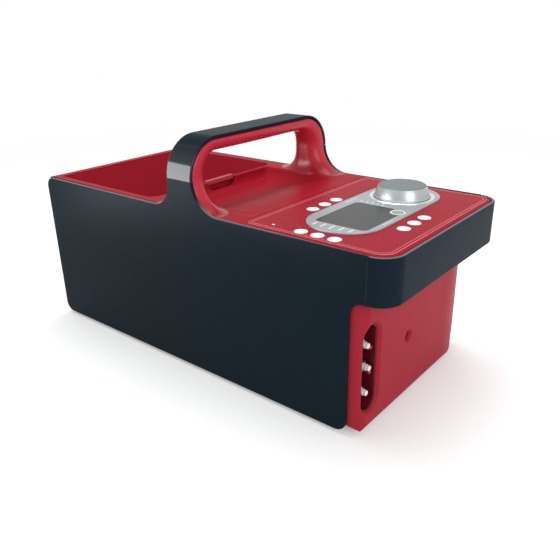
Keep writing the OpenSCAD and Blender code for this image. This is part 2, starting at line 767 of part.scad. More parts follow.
module reservoir_tub() {
    fl_x0 = x_wall + wall + 0.5;
    fl_x1 = saddle_x0 - wall - 0.5;
    fl_y = y_in - wall - 0.5;
    color(natural) difference() {
        union() {
            translate([fl_x0, -fl_y, tub_z1 - flange_h]) cube([fl_x1 - fl_x0, 2 * fl_y, flange_h]);
            translate([0, 0, tub_floor - tub_wall]) linear_extrude(tub_h - flange_h + tub_wall)
                round_rect(tub_x0, -tub_y, tub_x1, tub_y, 14);
            for (x = [tub_x0 + 20, tub_x1 - 20]) for (y = [-1, 1])
                translate([x, y * (tub_y - 22), tray_z]) cylinder(r = 6, h = tub_floor - tub_wall - tray_z + 1);
            for (q = [[outlet_y, spigot_z], [return_y, return_z]]) translate([tub_x1 - 1, q[0], q[1]])
                rotate([0, 90, 0]) cylinder(r = spigot_r, h = 9);
        }
        translate([0, 0, tub_floor]) linear_extrude(tub_h - flange_h)
            round_rect(tub_x0 + tub_wall, -tub_y + tub_wall, tub_x1 - tub_wall, tub_y - tub_wall, 11);
        translate([0, 0, tub_z1 - flange_h - eps]) linear_extrude(flange_h + 2 * eps)
            round_rect(mouth_x0, -mouth_y, mouth_x1, mouth_y, 8);
        translate([0, 0, ledge_z]) linear_extrude(ledge_h + eps) lid_opening(lid_gap + 0.3);
        translate([hinge_x, 0, hinge_z]) rotate([90, 0, 0])
            cylinder(r = barrel_r + 0.5, h = 2 * (lid_y + lid_gap), center = true);
        for (s = [-1, 1]) translate([hinge_x - barrel_r - eps, s * (lid_y + lug_l / 2) - lug_l / 2 - 0.7,
            hinge_z - barrel_r]) cube([2 * (barrel_r + eps), lug_l + 1.4, flange_h]);
        translate([lid_x1 - 3.2, pull_y - pull_w / 2 - 2, tub_z1 - flange_h - eps])
            cube([lid_r, pull_w + 4, flange_h + 2 * eps]);
        for (q = [[outlet_y, spigot_z], [return_y, return_z]])
            translate([tub_x1 - tub_wall - eps, q[0], q[1]]) rotate([0, 90, 0])
                cylinder(r = spigot_r - 1.8, h = 20);
    }
}

// Strainer cup over the reservoir's outlet
module reservoir_filter() {
    l = 16;
    color(white) translate([tub_x1 - tub_wall - l, outlet_y, spigot_z]) rotate([0, 90, 0]) difference() {
        cylinder(r = 12, h = l);
        translate([0, 0, 1.5]) cylinder(r = 10.5, h = l);
        for (a = [0:30:150]) rotate([0, 0, a]) for (z = [4, 9]) translate([-15, -1, z]) cube([30, 2, 3]);
    }
}

// ---------- controls ----------

module bezel_plan(inset) {
    translate([bezel_x, 0]) stadium(bezel_w - 2 * inset, bezel_y0, bezel_y1);
}

module window_plan(grow) {
    r = select_r + 2.3 - grow;
    difference() {
        round_rect(window_x - window_w / 2 - grow, window_y - window_l / 2 - grow,
            window_x + window_w / 2 + grow, window_y + window_l / 2 + grow, 5 + grow);
        translate(select_at) {
            circle(r);
            translate([-r, 0]) square([3 * r, 4 * r]);
        }
    }
}

module display_bezel() {
    color(silver) difference() {
        union() {
            translate([0, 0, film_z]) linear_extrude(bezel_t - 0.5) bezel_plan(0);
            translate([0, 0, film_z]) linear_extrude(bezel_t) bezel_plan(1);
        }
        translate([0, 0, film_z - eps]) linear_extrude(bezel_t + 2 * eps) {
            window_plan(fit);
            translate(select_at) circle(select_r + button_fit);
            translate([knob_x, knob_y]) circle(neck_r + fit);
        }
    }
}

module display_window() {
    color(grey) translate([0, 0, film_z]) linear_extrude(bezel_t - 0.3) window_plan(0);
}

module display_module() {
    inset = 3;
    y0 = window_y - window_l / 2 + inset;
    color(grey) translate([window_x - window_w / 2 + inset, y0, board_z + board_t])
        cube([window_w - 2 * inset, select_at[1] - 2 * select_r - y0, film_z - board_z - board_t - 0.2]);
}

module knob() {
    t = 2;
    z0 = bezel_z + 0.3;
    color(silver) translate([knob_x, knob_y, z0]) difference() {
        union() {
            cylinder(r1 = knob_r0, r2 = knob_r0 - 0.3, h = 1.2);
            translate([0, 0, 1.2]) cylinder(r1 = knob_r0 - 0.3, r2 = knob_r1, h = knob_h - 1.9);
            translate([0, 0, knob_h - 0.7]) cylinder(r1 = knob_r1, r2 = knob_r1 - 1, h = 0.7);
        }
        difference() {
            translate([0, 0, -eps]) cylinder(r1 = knob_r0 - t, r2 = knob_r1 - t, h = knob_h - t + eps);
            cylinder(r = shaft_r + t, h = knob_h);
        }
        translate([0, 0, -eps]) cylinder(r = shaft_r, h = knob_h - t + eps);
    }
}

module knob_ring() {
    color(silver) translate([knob_x, knob_y, bezel_z]) difference() {
        cylinder(r = knob_r0 + ring_w, h = ring_t);
        translate([0, 0, -eps]) cylinder(r = knob_r0 + 0.6, h = ring_t + 2 * eps);
    }
}

module encoder_shaft() {
    z0 = board_z + board_t + shaft_up;
    color(silver) translate([knob_x, knob_y, z0])
        cylinder(r = shaft_r, h = bezel_z + 0.3 + knob_h - 2 - z0);
}

module encoder_body() {
    z0 = board_z + board_t;
    color(grey) translate([knob_x, knob_y, z0]) difference() {
        union() {
            translate([-encoder_w / 2, -encoder_w / 2, 0]) cube([encoder_w, encoder_w, board_gap]);
            cylinder(r = neck_r, h = film_z - z0 - 0.2);
        }
        translate([0, 0, shaft_up - 0.1]) cylinder(r = shaft_r + fit, h = 20);
    }
}

module button(at, r, top) {
    color(white) translate([at[0], at[1], plate_z - flange_t - fit]) {
        cylinder(r = r + flange_grow, h = flange_t);
        cylinder(r = r, h = top - plate_z + flange_t + fit - 0.4);
        translate([0, 0, top - plate_z + flange_t + fit - 0.4]) cylinder(r1 = r, r2 = r - 0.4, h = 0.4);
    }
}

module button_near_1() { button(keys_near[0], button_r, film_z + button_up); }
module button_near_2() { button(keys_near[1], button_r, film_z + button_up); }
module button_near_3() { button(keys_near[2], button_r, film_z + button_up); }
module button_rear_1() { button(keys_rear[0], button_r, film_z + button_up); }
module button_rear_2() { button(keys_rear[1], button_r, film_z + button_up); }
module button_rear_3() { button(keys_rear[2], button_r, film_z + button_up); }
module button_front_1() { button(keys_front[0], button_r, film_z + button_up); }
module button_front_2() { button(keys_front[1], button_r, film_z + button_up); }
module button_front_3() { button(keys_front[2], button_r, film_z + button_up); }
module select_button() { button(select_at, select_r, bezel_z + button_up); }

module status_led() {
    color(white) translate([led_at[0], led_at[1], board_z + board_t]) {
        cylinder(r = led_r, h = film_z - board_z - board_t - 0.4);
        translate([0, 0, film_z - board_z - board_t - 0.4]) cylinder(r1 = led_r, r2 = led_r - 0.5, h = 0.6);
    }
}

module control_board() {
    color(board_green) difference() {
        translate([board_x0, board_y0, board_z]) cube([board_x1 - board_x0, board_y1 - board_y0, board_t]);
        for (p = board_screw_at) translate([p[0], p[1], board_z - eps])
            cylinder(r = board_screw_r + 0.4, h = board_t + 2 * eps);
    }
}

module key_switches() {
    top = plate_z - flange_t - fit - button_travel - fit;
    z0 = board_z + board_t;
    color(grey) for (k = concat(keys, [select_at])) translate([k[0], k[1], z0]) {
        translate([-sw_w / 2, -sw_w / 2, 0]) cube([sw_w, sw_w, top - z0 - 0.5]);
        cylinder(r = sw_w * 0.28, h = top - z0);
    }
}

module board_screws() {
    color(silver) for (p = board_screw_at) translate([p[0], p[1], board_z]) mirror([0, 0, 1])
        screw(board_screw_r, board_t + board_gap - 1, 2 * board_screw_r, 1.4);
}

// ---------- hose socket ----------

module hose_socket() {
    step = 1;               // how far the cup's inside stands in from the opening
    boss_l = 10;
    color(dark_red) difference() {
        intersection() {
            union() {
                at_socket() along_x(x_cup, x_face - wall) socket_outline(cup_t - step);
                for (i = [0:2]) at_nozzle(i) translate([0, 0, x_cup - boss_l])
                    cylinder(r = nozzle_r + 2, h = boss_l + 1);
            }
            housing_block(wall, plate_z);
        }
        at_socket() along_x(x_cup + cup_t, x_face) socket_outline(-step);
        for (i = [0:2]) at_nozzle(i) translate([0, 0, x_cup - boss_l - eps])
            cylinder(r = nozzle_r, h = boss_l + cup_t + 2 * eps);
        for (z = guide_z) translate([x_cup - eps, guide_y, side_z + socket_z + z]) rotate([0, 90, 0])
            cylinder(r = guide_r, h = cup_t + 2 * eps);
    }
}

module at_nozzle(i) {
    translate([0, nozzle_y[i], nozzle_z(i)]) rotate([0, 90, 0]) children();
}

function nozzle_z(i) = side_z + socket_z - nozzle_drop + nozzle_row[i] * nozzle_pitch;
cup_t = 1.9;                       // wall of the socket's cup
tail_l = 16;                       // how far the nozzles run behind the cup
bore_l = 11;                       // depth of the valve's bore from the nozzle's mouth
x_barrel = x_tip - 5.4;            // front of the nozzle barrels
o_ring_r = 0.65;
groove_r = 3.35;
o_ring_x = [1.7, 4.3];             // behind the barrel's front

module nozzle(i) {
    x0 = x_cup - tail_l;
    color(silver) at_nozzle(i) difference() {
        union() {
            translate([0, 0, x0]) cylinder(r = nozzle_r, h = x_barrel - x0);
            translate([0, 0, x_cup + cup_t]) cylinder(r = nozzle_r + 0.8, h = 1.6);
        }
        translate([0, 0, x_barrel - bore_l]) cylinder(r = valve_r + fit, h = bore_l + eps);
        translate([0, 0, x0 - eps]) cylinder(r = valve_r - 0.9, h = x_barrel - x0);
        for (g = o_ring_x) translate([0, 0, x_barrel - g - o_ring_r]) difference() {
            cylinder(r = nozzle_r + 1, h = 2 * o_ring_r);
            translate([0, 0, -1]) cylinder(r = groove_r, h = 2 * o_ring_r + 2);
        }
    }
}

module supply_nozzle() { nozzle(0); }
module air_nozzle() { nozzle(1); }
module return_nozzle() { nozzle(2); }

module valve(i) {
    x0 = x_barrel - bore_l + valve_travel + 0.3;
    color(white) at_nozzle(i) translate([0, 0, x0]) {
        cylinder(r = valve_r, h = x_tip - x0 - 1);
        translate([0, 0, x_tip - x0 - 1]) cylinder(r1 = valve_r, r2 = valve_r - 0.8, h = 1);
    }
}

module supply_valve() { valve(0); }
module air_valve() { valve(1); }
module return_valve() { valve(2); }

module nozzle_o_rings() {
    color(rubber) for (i = [0:2]) at_nozzle(i) for (g = o_ring_x) translate([0, 0, x_barrel - g])
        rotate_extrude() translate([groove_r + o_ring_r, 0]) circle(o_ring_r, $fn = 24);
}

module guide_pins() {
    l = x_face - 4.5 - guide_r - x_cup;
    color(red) for (z = guide_z) translate([x_cup, guide_y, side_z + socket_z + z]) rotate([0, 90, 0]) {
        cylinder(r = guide_r, h = l);
        translate([0, 0, l]) sphere(guide_r);
    }
}

// Jack behind the inlet's sleeve
module power_inlet() {
    l = 18;
    flange = 16;
    flange_d = 3;
    barrel = 6.5;
    bore = 2.9;
    pin = 1.05;
    depth = 11;
    color(rubber) at_inlet() translate([0, 0, -inlet_sleeve - wall]) {
        difference() {
            union() {
                translate([-flange / 2, -flange / 2, -flange_d]) cube([flange, flange, flange_d]);
                translate([0, 0, -l]) cylinder(r = barrel, h = l);
            }
            translate([0, 0, -depth]) cylinder(r = bore, h = l);
        }
        translate([0, 0, -depth - 1]) cylinder(r = pin, h = depth);
    }
}

// ---------- works inside ----------

// Pipe stub along Z with its bore open at the top
module spigot(r, l, bore_depth) {
    difference() {
        cylinder(r = r, h = l);
        translate([0, 0, l - bore_depth]) cylinder(r = r - spigot_t, h = bore_depth + eps);
    }
}

module chassis_tray() {
    side_t = 2;
    side_h = 11;
    color(grey) difference() {
        union() {
            translate([tray_x0, -tray_y, tray_z]) cube([tray_x1 - tray_x0, 2 * tray_y, tray_t]);
            for (y = [-tray_y, tray_y - side_t]) translate([tray_x0, y, tray_z])
                cube([tray_x1 - tray_x0, side_t, side_h]);
        }
        for (p = tray_screw_at) translate([p[0], p[1], tray_z - eps])
            cylinder(r = tray_screw_r, h = tray_t + 2 * eps);
    }
}

module base_screws() {
    color(silver) for (p = tray_screw_at) translate([p[0], p[1], keel_z]) mirror([0, 0, 1])
        screw(tray_screw_r, wall + tray_t + 3, 2 * tray_screw_r, tray_screw_r);
}

module feet() {
    bevel = 0.8;
    color(rubber) for (p = foot_at) translate([p[0], p[1], 0]) {
        cylinder(r1 = foot_r - bevel, r2 = foot_r, h = bevel);
        translate([0, 0, bevel]) cylinder(r = foot_r, h = foot_h + foot_seat - bevel);
    }
}

module water_pump() {
    rim = 3;
    dome = 4;
    saddle_w = 8;
    outlet_l = pump_r + 12;
    color(rubber) translate(pump_at) {
        rotate([0, 90, 0]) {
            cylinder(r = pump_r, h = pump_l);
            translate([0, 0, -pump_head]) cylinder(r = pump_r + rim, h = pump_head);
            translate([0, 0, 1 - pump_head]) mirror([0, 0, 1]) spigot(spigot_r, pump_neck + 1, 8);
            translate([0, 0, pump_l]) cylinder(r1 = pump_r - 2, r2 = pump_r - 2 - dome, h = dome);
        }
        translate([-pump_head / 2, pump_r - 6, 0]) spigot(spigot_r, outlet_l, 8);
        for (x = [4, pump_l - 14]) translate([x, rim - pump_r, -pump_up])
            cube([saddle_w, 2 * (pump_r - rim), pump_up]);
    }
}

module air_pump() {
    base_t = 4;
    motor_r = 17;
    motor_l = 44;
    motor_z = 24;
    mid = air_w / 2;
    color(silver) translate(air_at) {
        cube([air_l, air_w, base_t]);
        translate([4, mid, motor_z]) rotate([0, 90, 0]) cylinder(r = motor_r, h = motor_l);
        for (x = [8, 36]) translate([x, mid - motor_r, 0]) cube([6, 2 * motor_r, motor_z]);
        translate([air_head_x, mid - air_head[1] / 2, 0]) cube(air_head);
        translate([air_port[0] - air_cap[0] / 2, mid - air_cap[1] / 2, air_head[2] - 1]) cube(air_cap);
        translate([air_port[0], mid, air_head[2] + air_cap[2] - 2]) spigot(air_spigot_r, air_neck + 2, 7);
    }
}

module valve_block() {
    coil_r = 8;
    coil_h = 22;
    coil_pitch = 17;
    core_r = 3;
    z = block[2] - 1;
    color(natural) translate(valves_at) {
        cube(block);
        for (i = [-1:1]) translate([block[0] / 2 + coil_pitch * i, 20, z]) {
            cylinder(r = coil_r, h = coil_h);
            cylinder(r = core_r, h = coil_h + core_r);
        }
        for (p = block_ports) translate([p[0], p[1], z]) cylinder(r = air_spigot_r, h = p[2] - z);
    }
}

module main_board() {
    up = 6;
    top = up + 1;
    inset = 5;
    can = [6, 18];                    // radius and height of the capacitors
    chip = [24, 24, 3.2];
    sink = [24, 20, 2.5];
    fin = [2, 18, 16];
    plug = [8, 12, 9];
    color(board_green) translate(mainboard_at) {
        for (x = [inset, mainboard[0] - inset]) for (y = [inset, mainboard[1] - inset])
            translate([x, y, 0]) cylinder(r = inset / 2, h = up + 0.2);
        translate([0, 0, up]) cube([mainboard[0], mainboard[1], board_t]);
        for (x = [12, 28]) translate([x, 14, top]) cylinder(r = can[0], h = can[1]);
        translate([mainboard[0] / 2, 8, top]) cube(chip);
        translate([mainboard[0] / 2 - 2, 39, top]) {
            cube(sink);
            for (i = [0:4]) translate([1 + (sink[0] - fin[0] - 2) / 4 * i, 1, 0]) cube(fin);
        }
        for (i = [0:2]) translate([mainboard[0] - 14, 8 + 16 * i, top]) cube(plug);
    }
}

// Point and direction at t on the cubic curve that a, b, c and d control
function curve_at(a, b, c, d, t) = let (s = 1 - t)
    s * s * s * a + 3 * s * s * t * b + 3 * s * t * t * c + t * t * t * d;
function curve_dir(a, b, c, d, t) = let (s = 1 - t, v = s * s * (b - a) + 2 * s * t * (c - b) + t * t * (d - c))
    v / norm(v);

// Hose of round section from port a to port d, leaving them towards b and c, square at both ends
module hose(a, b, c, d, n, r, up) {
    sides = 10;
    skin([for (k = [0:n]) let (
        p = curve_at(a, b, c, d, k / n),
        w = curve_dir(a, b, c, d, k / n),
        u = cross(up, w) / norm(cross(up, w)),
        v = cross(w, u))
        [for (i = [0:sides - 1]) let (q = 360 * i / sides) p + r * (cos(q) * u + sin(q) * v)]]);
}

tub_port = [tub_x1 + 8, outlet_y, spigot_z];
tub_return = [tub_x1 + 8, return_y, return_z];
pump_in = pump_at - [pump_head + pump_neck, 0, 0];
pump_out = pump_at + [-pump_head / 2, pump_r - 6, pump_r + 12];
nozzle_in = [for (i = [0:2]) [x_cup - tail_l, nozzle_y[i], nozzle_z(i)]];
air_out = air_at + air_port;
block_in = valves_at + block_ports[0];
block_out = valves_at + block_ports[1];

module suction_hose() {
    color(natural) hose(tub_port, tub_port + [9, 0, 0], pump_in - [9, 0, 0], pump_in, 10, hose_r, [0, 0, 1]);
}

module supply_hose() {
    p = nozzle_in[0];
    color(natural) hose(pump_out, pump_out + [0, 0, 35], p - [90, 0, 0], p, 20, hose_r, [0, 1, 0]);
}

module return_hose() {
    p = nozzle_in[2];
    color(natural) hose(tub_return, tub_return + [60, 0, 0], p - [70, 0, 0], p, 24, hose_r, [0, 1, 0]);
}

module air_hose() {
    r = hose_r - 1;
    p = nozzle_in[1];
    color(natural) {
        hose(air_out, air_out + [0, 0, 28], block_in + [0, 0, 45], block_in, 16, r, [0, 1, 0]);
        hose(block_out, block_out + [0, 0, 22], p - [22, 0, 0], p, 12, r, [1, -1, 0]);
    }
}

side_panel_near();
side_panel_far();
front_band();
handle_strap();
handle_grip();
lower_housing();
top_deck();
control_deck();
panel_film();
lid();
lid_seal();
lid_hinge_pins();
reservoir_tub();
reservoir_filter();
display_bezel();
display_window();
display_module();
knob();
knob_ring();
encoder_shaft();
encoder_body();
button_near_1();
button_near_2();
button_near_3();
button_rear_1();
button_rear_2();
button_rear_3();
button_front_1();
button_front_2();
button_front_3();
select_button();
status_led();
control_board();
key_switches();
board_screws();
hose_socket();
supply_nozzle();
air_nozzle();
return_nozzle();
supply_valve();
air_valve();
return_valve();
nozzle_o_rings();
guide_pins();
power_inlet();
chassis_tray();
water_pump();
air_pump();
valve_block();
main_board();
suction_hose();
supply_hose();
return_hose();
air_hose();
feet();
base_screws();
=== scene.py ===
"""Looks of the hot and cold therapy machine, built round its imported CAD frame.

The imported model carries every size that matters. This script gives the pieces that show their
soft edges, fine detail and finishes, and sets up the studio. All sizes are in millimetres, in
the frame of the CAD: +X is the control end, +Y the side away from the hose socket, +Z up.
"""

from __future__ import annotations

import json
import logging
import math
from dataclasses import dataclass, field
from enum import Enum
from typing import Callable, Iterable, Optional, Sequence, Union

import bmesh
import bpy
from mathutils import Matrix, Vector
from mathutils.geometry import tessellate_polygon

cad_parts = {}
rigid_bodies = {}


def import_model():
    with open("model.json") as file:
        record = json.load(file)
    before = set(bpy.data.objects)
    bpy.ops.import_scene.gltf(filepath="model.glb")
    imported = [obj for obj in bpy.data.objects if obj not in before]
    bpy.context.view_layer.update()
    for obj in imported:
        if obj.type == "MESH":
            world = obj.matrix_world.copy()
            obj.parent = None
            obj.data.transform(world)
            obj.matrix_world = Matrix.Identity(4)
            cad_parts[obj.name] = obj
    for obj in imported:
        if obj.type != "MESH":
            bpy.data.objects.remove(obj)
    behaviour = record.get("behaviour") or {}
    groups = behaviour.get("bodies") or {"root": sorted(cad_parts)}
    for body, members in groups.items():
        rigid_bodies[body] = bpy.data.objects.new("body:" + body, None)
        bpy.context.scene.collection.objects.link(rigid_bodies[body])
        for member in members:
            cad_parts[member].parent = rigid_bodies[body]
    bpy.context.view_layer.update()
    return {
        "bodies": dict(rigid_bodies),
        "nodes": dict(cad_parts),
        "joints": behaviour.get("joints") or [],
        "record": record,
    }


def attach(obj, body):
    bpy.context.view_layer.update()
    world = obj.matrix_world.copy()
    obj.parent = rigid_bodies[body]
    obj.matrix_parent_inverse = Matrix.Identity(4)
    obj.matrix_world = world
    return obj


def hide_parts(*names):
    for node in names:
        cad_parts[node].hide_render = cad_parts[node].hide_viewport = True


log = logging.getLogger("therapy_machine")

MM = 0.001
Point = tuple[float, float]
Color = tuple[float, float, float]
Blend = Callable[[float, float], float]


# ---------------------------------------------------------------- shared sizes


@dataclass(frozen=True)
class Body:
    """Sizes that more than one sub-assembly follows, as the CAD has them."""

    x_rear: float = -206.5
    x_band: float = 206.5
    x_face: float = 185.0
    x_panel: float = 173.0
    x_wall: float = -205.0
    y_side: float = 98.5
    y_in: float = 95.5
    side_z: float = 3.0
    deck_z: float = 157.3
    plate_z: float = 154.3
    band_z: float = 119.2
    strap_z: float = 183.7
    handle_top: float = 217.7
    handle_half: float = 14.8
    handle_r: float = 34.0
    shell_t: float = 3.0
    band_r: float = 19.5
    foot_rear: float = 21.0
    foot_front: float = 28.0
    gap_y: float = 77.0
    saddle_xd: float = -28.0
    saddle_x1: float = 55.0
    saddle_h: float = 12.0
    foot_centre: float = 14.0
    seam_x: float = 65.5
    film_z: float = 157.8
    bezel_z: float = 159.2


BODY = Body()


def saddle_floor(x: float) -> float:
    """Height of the saddle's floor over the deck, along the middle and ahead of its level part."""
    start, end, depth = BODY.saddle_xd, BODY.saddle_x1, BODY.saddle_h
    if x <= start:
        return -depth
    curve = ((end - start) ** 2 + depth**2) / (4 * depth)
    if x <= (start + end) / 2:
        return curve - depth - math.sqrt(curve**2 - (x - start) ** 2)
    return min(math.sqrt(curve**2 - (x - end) ** 2) - curve, 0.0) if x < end else 0.0


# ---------------------------------------------------------------- drawing and meshing


class Plane(Enum):
    """Plane that an outline is drawn in, and so the way that its plate is thick."""

    FLAT = "xy"
    SIDE = "xz"
    CROSS = "yz"

    def point(self, u: float, v: float, depth: float) -> Vector:
        """Place of a drawing's point at a depth through the plate."""
        if self is Plane.FLAT:
            return Vector((u, v, depth))
        if self is Plane.SIDE:
            return Vector((u, depth, v))
        return Vector((depth, u, v))


class Outline:
    """Closed drawing made of straight runs and arcs."""

    def __init__(self, points: Iterable[Point] = ()) -> None:
        """Starts the drawing.

        Args:
            points: corners that are known already, in order.
        """
        self.points: list[Point] = list(points)

    def to(self, x: float, y: float) -> "Outline":
        """Adds a straight run to a corner."""
        self.points.append((x, y))
        return self

    def arc(self, x: float, y: float, radius: float, start: float, end: float, steps: int = 10) -> "Outline":
        """Adds an arc.

        Args:
            x, y: centre of the arc.
            radius: its radius.
            start, end: angles in degrees, counted from +x towards +y.
            steps: number of straight runs that stand for it.

        Returns:
            The outline itself, so that calls chain.
        """
        for i in range(steps + 1):
            angle = math.radians(start + (end - start) * i / steps)
            self.points.append((x + radius * math.cos(angle), y + radius * math.sin(angle)))
        return self

    @classmethod
    def box(cls, x0: float, y0: float, x1: float, y1: float, radii: Sequence[float]) -> "Outline":
        """Rectangle with round corners, whose radii run from the low corner round by +x."""
        a, b, c, d = radii
        out = cls()
        out.arc(x0 + a, y0 + a, a, 180, 270)
        out.arc(x1 - b, y0 + b, b, 270, 360)
        out.arc(x1 - c, y1 - c, c, 0, 90)
        return out.arc(x0 + d, y1 - d, d, 90, 180)

    @classmethod
    def circle(cls, x: float, y: float, radius: float, steps: int = 48) -> "Outline":
        """Circle as a closed drawing."""
        return cls().arc(x, y, radius, 0, 360, steps)

    @classmethod
    def stadium(cls, x: float, width: float, y0: float, y1: float) -> "Outline":
        """Slot shape with its long axis along y, between the centres y0 and y1 of its ends."""
        out = cls().arc(x, y1, width / 2, 0, 180, 48)
        return out.arc(x, y0, width / 2, 180, 360, 48)

    def ring(self, solid_left: bool) -> list[Vector]:
        """Corners without doubles, turned so that the plate lies on the wanted side.

        Args:
            solid_left: whether the plate lies inside the drawing.

        Returns:
            The corners in order.
        """
        clean: list[Vector] = []
        for x, y in self.points:
            here = Vector((x, y))
            if not clean or (here - clean[-1]).length > 1e-4:
                clean.append(here)
        if (clean[0] - clean[-1]).length < 1e-4:
            clean.pop()
        area = sum(p.x * q.y - q.x * p.y for p, q in zip(clean, clean[1:] + clean[:1]))
        if (area > 0) != solid_left:
            clean.reverse()
        return clean


@dataclass(frozen=True)
class Edge:
    """Rounding of a plate's rims.

    Attributes:
        high: radius on the side of the greater depth.
        low: radius on the other side.
        steps: faces over a quarter turn.
        flat: width of the level strip beside the rounding.
    """

    high: float = 0.6
    low: float = 0.3
    steps: int = 4
    flat: float = 0.4

    def profile(self, low: float, high: float) -> list[Point]:
        """Rim as pairs of inset and depth, from the low face to the high one.

        Args:
            low: depth of the low face.
            high: depth of the high face.

        Returns:
            The pairs in order.
        """
        rim = [(self.low + self.flat, low)]
        for i in range(self.steps + 1 if self.low else 1):
            a = math.pi / 2 * i / self.steps
            rim.append((self.low * (1 - math.sin(a)), low + self.low * (1 - math.cos(a))))
        for i in range(self.steps + 1 if self.high else 1):
            a = math.pi / 2 * (1 - i / self.steps)
            rim.append((self.high * (1 - math.sin(a)), high - self.high * (1 - math.cos(a))))
        rim.append((self.high + self.flat, high))
        return rim


class Sculpt:
    """One piece's mesh while it is made, in millimetres."""

    def __init__(self, name: str) -> None:
        """Starts an empty mesh.

        Args:
            name: name of the piece.
        """
        self.name = name
        self.mesh = bmesh.new()

    def strip(self, rows: Sequence[Sequence[Vector]], closed: bool = True) -> list[list[bmesh.types.BMVert]]:
        """Skins over rows of points of equal length.

        Args:
            rows: the rows, in order.
            closed: whether each row runs back to its start.

        Returns:
            The vertices of each row.
        """
        made = [[self.mesh.verts.new(p) for p in row] for row in rows]
        count = len(rows[0])
        for here, there in zip(made, made[1:]):
            for i in range(count if closed else count - 1):
                j = (i + 1) % count
                self.mesh.faces.new((here[i], here[j], there[j], there[i]))
        return made

    def plate(
        self,
        outer: Outline,
        low: float,
        high: float,
        edge: Edge,
        holes: Sequence[Outline] = (),
        plane: Plane = Plane.FLAT,
        hole_edge: Optional[Edge] = None,
        soft: Optional[Blend] = None,
    ) -> "Sculpt":
        """Adds a plate with rounded rims.

        Args:
            outer: its outline.
            low, high: depths of its two faces.
            edge: rounding of the outline's rims.
            holes: outlines of its openings.
            plane: plane that the outlines are drawn in.
            hole_edge: rounding of the openings' rims, where it differs.
            soft: how much of the rounding a corner of an outline keeps, from 0 to 1.

        Returns:
            The sculpt itself, so that calls chain.
        """
        faces: list[list[Vector]] = [[], []]
        verts: list[list[bmesh.types.BMVert]] = [[], []]
        rings: list[tuple[int, int]] = []
        for index, drawing in enumerate([outer, *holes]):
            corners = drawing.ring(solid_left=index == 0)
            rim = (edge if index == 0 or hole_edge is None else hole_edge).profile(low, high)
            inwards = self._inwards(corners)
            rows = []
            for inset, depth in rim:
                row = []
                for corner, inward in zip(corners, inwards):
                    keep = soft(corner.x, corner.y) if soft else 1.0
                    spot = corner + inward * inset * keep
                    level = high if depth > (low + high) / 2 else low
                    row.append(plane.point(spot.x, spot.y, level + (depth - level) * keep))
                rows.append(row)
            made = self.strip(rows)
            for side, row in ((0, 0), (1, -1)):
                inset = rim[row][0]
                verts[side].extend(made[row])
                faces[side].append([
                    (c + n * inset * (soft(c.x, c.y) if soft else 1.0)).to_3d() for c, n in zip(corners, inwards)
                ])
            rings.append((len(corners), index))
        for side in (0, 1):
            for a, b, c in tessellate_polygon(faces[side]):
                trio = (verts[side][a], verts[side][b], verts[side][c])
                if len(set(trio)) == 3 and not self.mesh.faces.get(trio):
                    self.mesh.faces.new(trio)
        return self

    @staticmethod
    def _inwards(corners: Sequence[Vector]) -> list[Vector]:
        """Way to the plate's inside at each corner, long enough to keep the runs parallel."""
        found = []
        for i, here in enumerate(corners):
            before = (here - corners[i - 1]).normalized()
            after = (corners[(i + 1) % len(corners)] - here).normalized()
            a, b = Vector((-before.y, before.x)), Vector((-after.y, after.x))
            found.append((a + b) / max(1 + a.dot(b), 0.35))
        return found

    def turned(self, profile: Sequence[Point], at: Vector, along: Vector, steps: int = 96) -> "Sculpt":
        """Adds a turned shape.

        Args:
            profile: pairs of radius and place along the axis, in order.
            at: where the axis starts.
            along: the axis.
            steps: faces round the axis.

        Returns:
            The sculpt itself, so that calls chain.
        """
        spin = Vector((0, 0, 1)).rotation_difference(along).to_matrix()
        rows = []
        for radius, place in profile:
            turn = (2 * math.pi * i / steps for i in range(steps))
            rows.append([at + spin @ Vector((radius * math.cos(a), radius * math.sin(a), place)) for a in turn])
        self.strip(rows)
        return self

    def finish(
        self, finish: "Finish", slot: str, nodes: Sequence[str], body: str = "machine", weld: float = 1e-4
    ) -> bpy.types.Object:
        """Turns the sculpt into an object that rides on its body.

        Args:
            finish: the finish that it gets.
            slot: the record's material slot that the finish comes from; not used.
            nodes: the CAD nodes that it stands for.
            body: the CAD body that carries it.
            weld: distance at which points count as one.

        Returns:
            The object.
        """
        bmesh.ops.remove_doubles(self.mesh, verts=self.mesh.verts, dist=weld)
        bmesh.ops.dissolve_degenerate(self.mesh, edges=self.mesh.edges, dist=1e-5)
        bmesh.ops.recalc_face_normals(self.mesh, faces=self.mesh.faces)
        self.mesh.transform(Matrix.Scale(MM, 4))
        data = bpy.data.meshes.new(self.name)
        self.mesh.to_mesh(data)
        self.mesh.free()
        data.shade_smooth()
        data.set_sharp_from_angle(angle=math.radians(38))
        piece = bpy.data.objects.new(self.name, data)
        bpy.context.scene.collection.objects.link(piece)
        normals = piece.modifiers.new("level_faces", "WEIGHTED_NORMAL")
        normals.keep_sharp = True
        data.materials.append(finish.material())
        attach(piece, body)
        if nodes:
            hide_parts(*nodes)
        log.info("%s: %d faces, on %s, for %s", self.name, len(data.polygons), body, ", ".join(nodes) or "itself")
        return piece


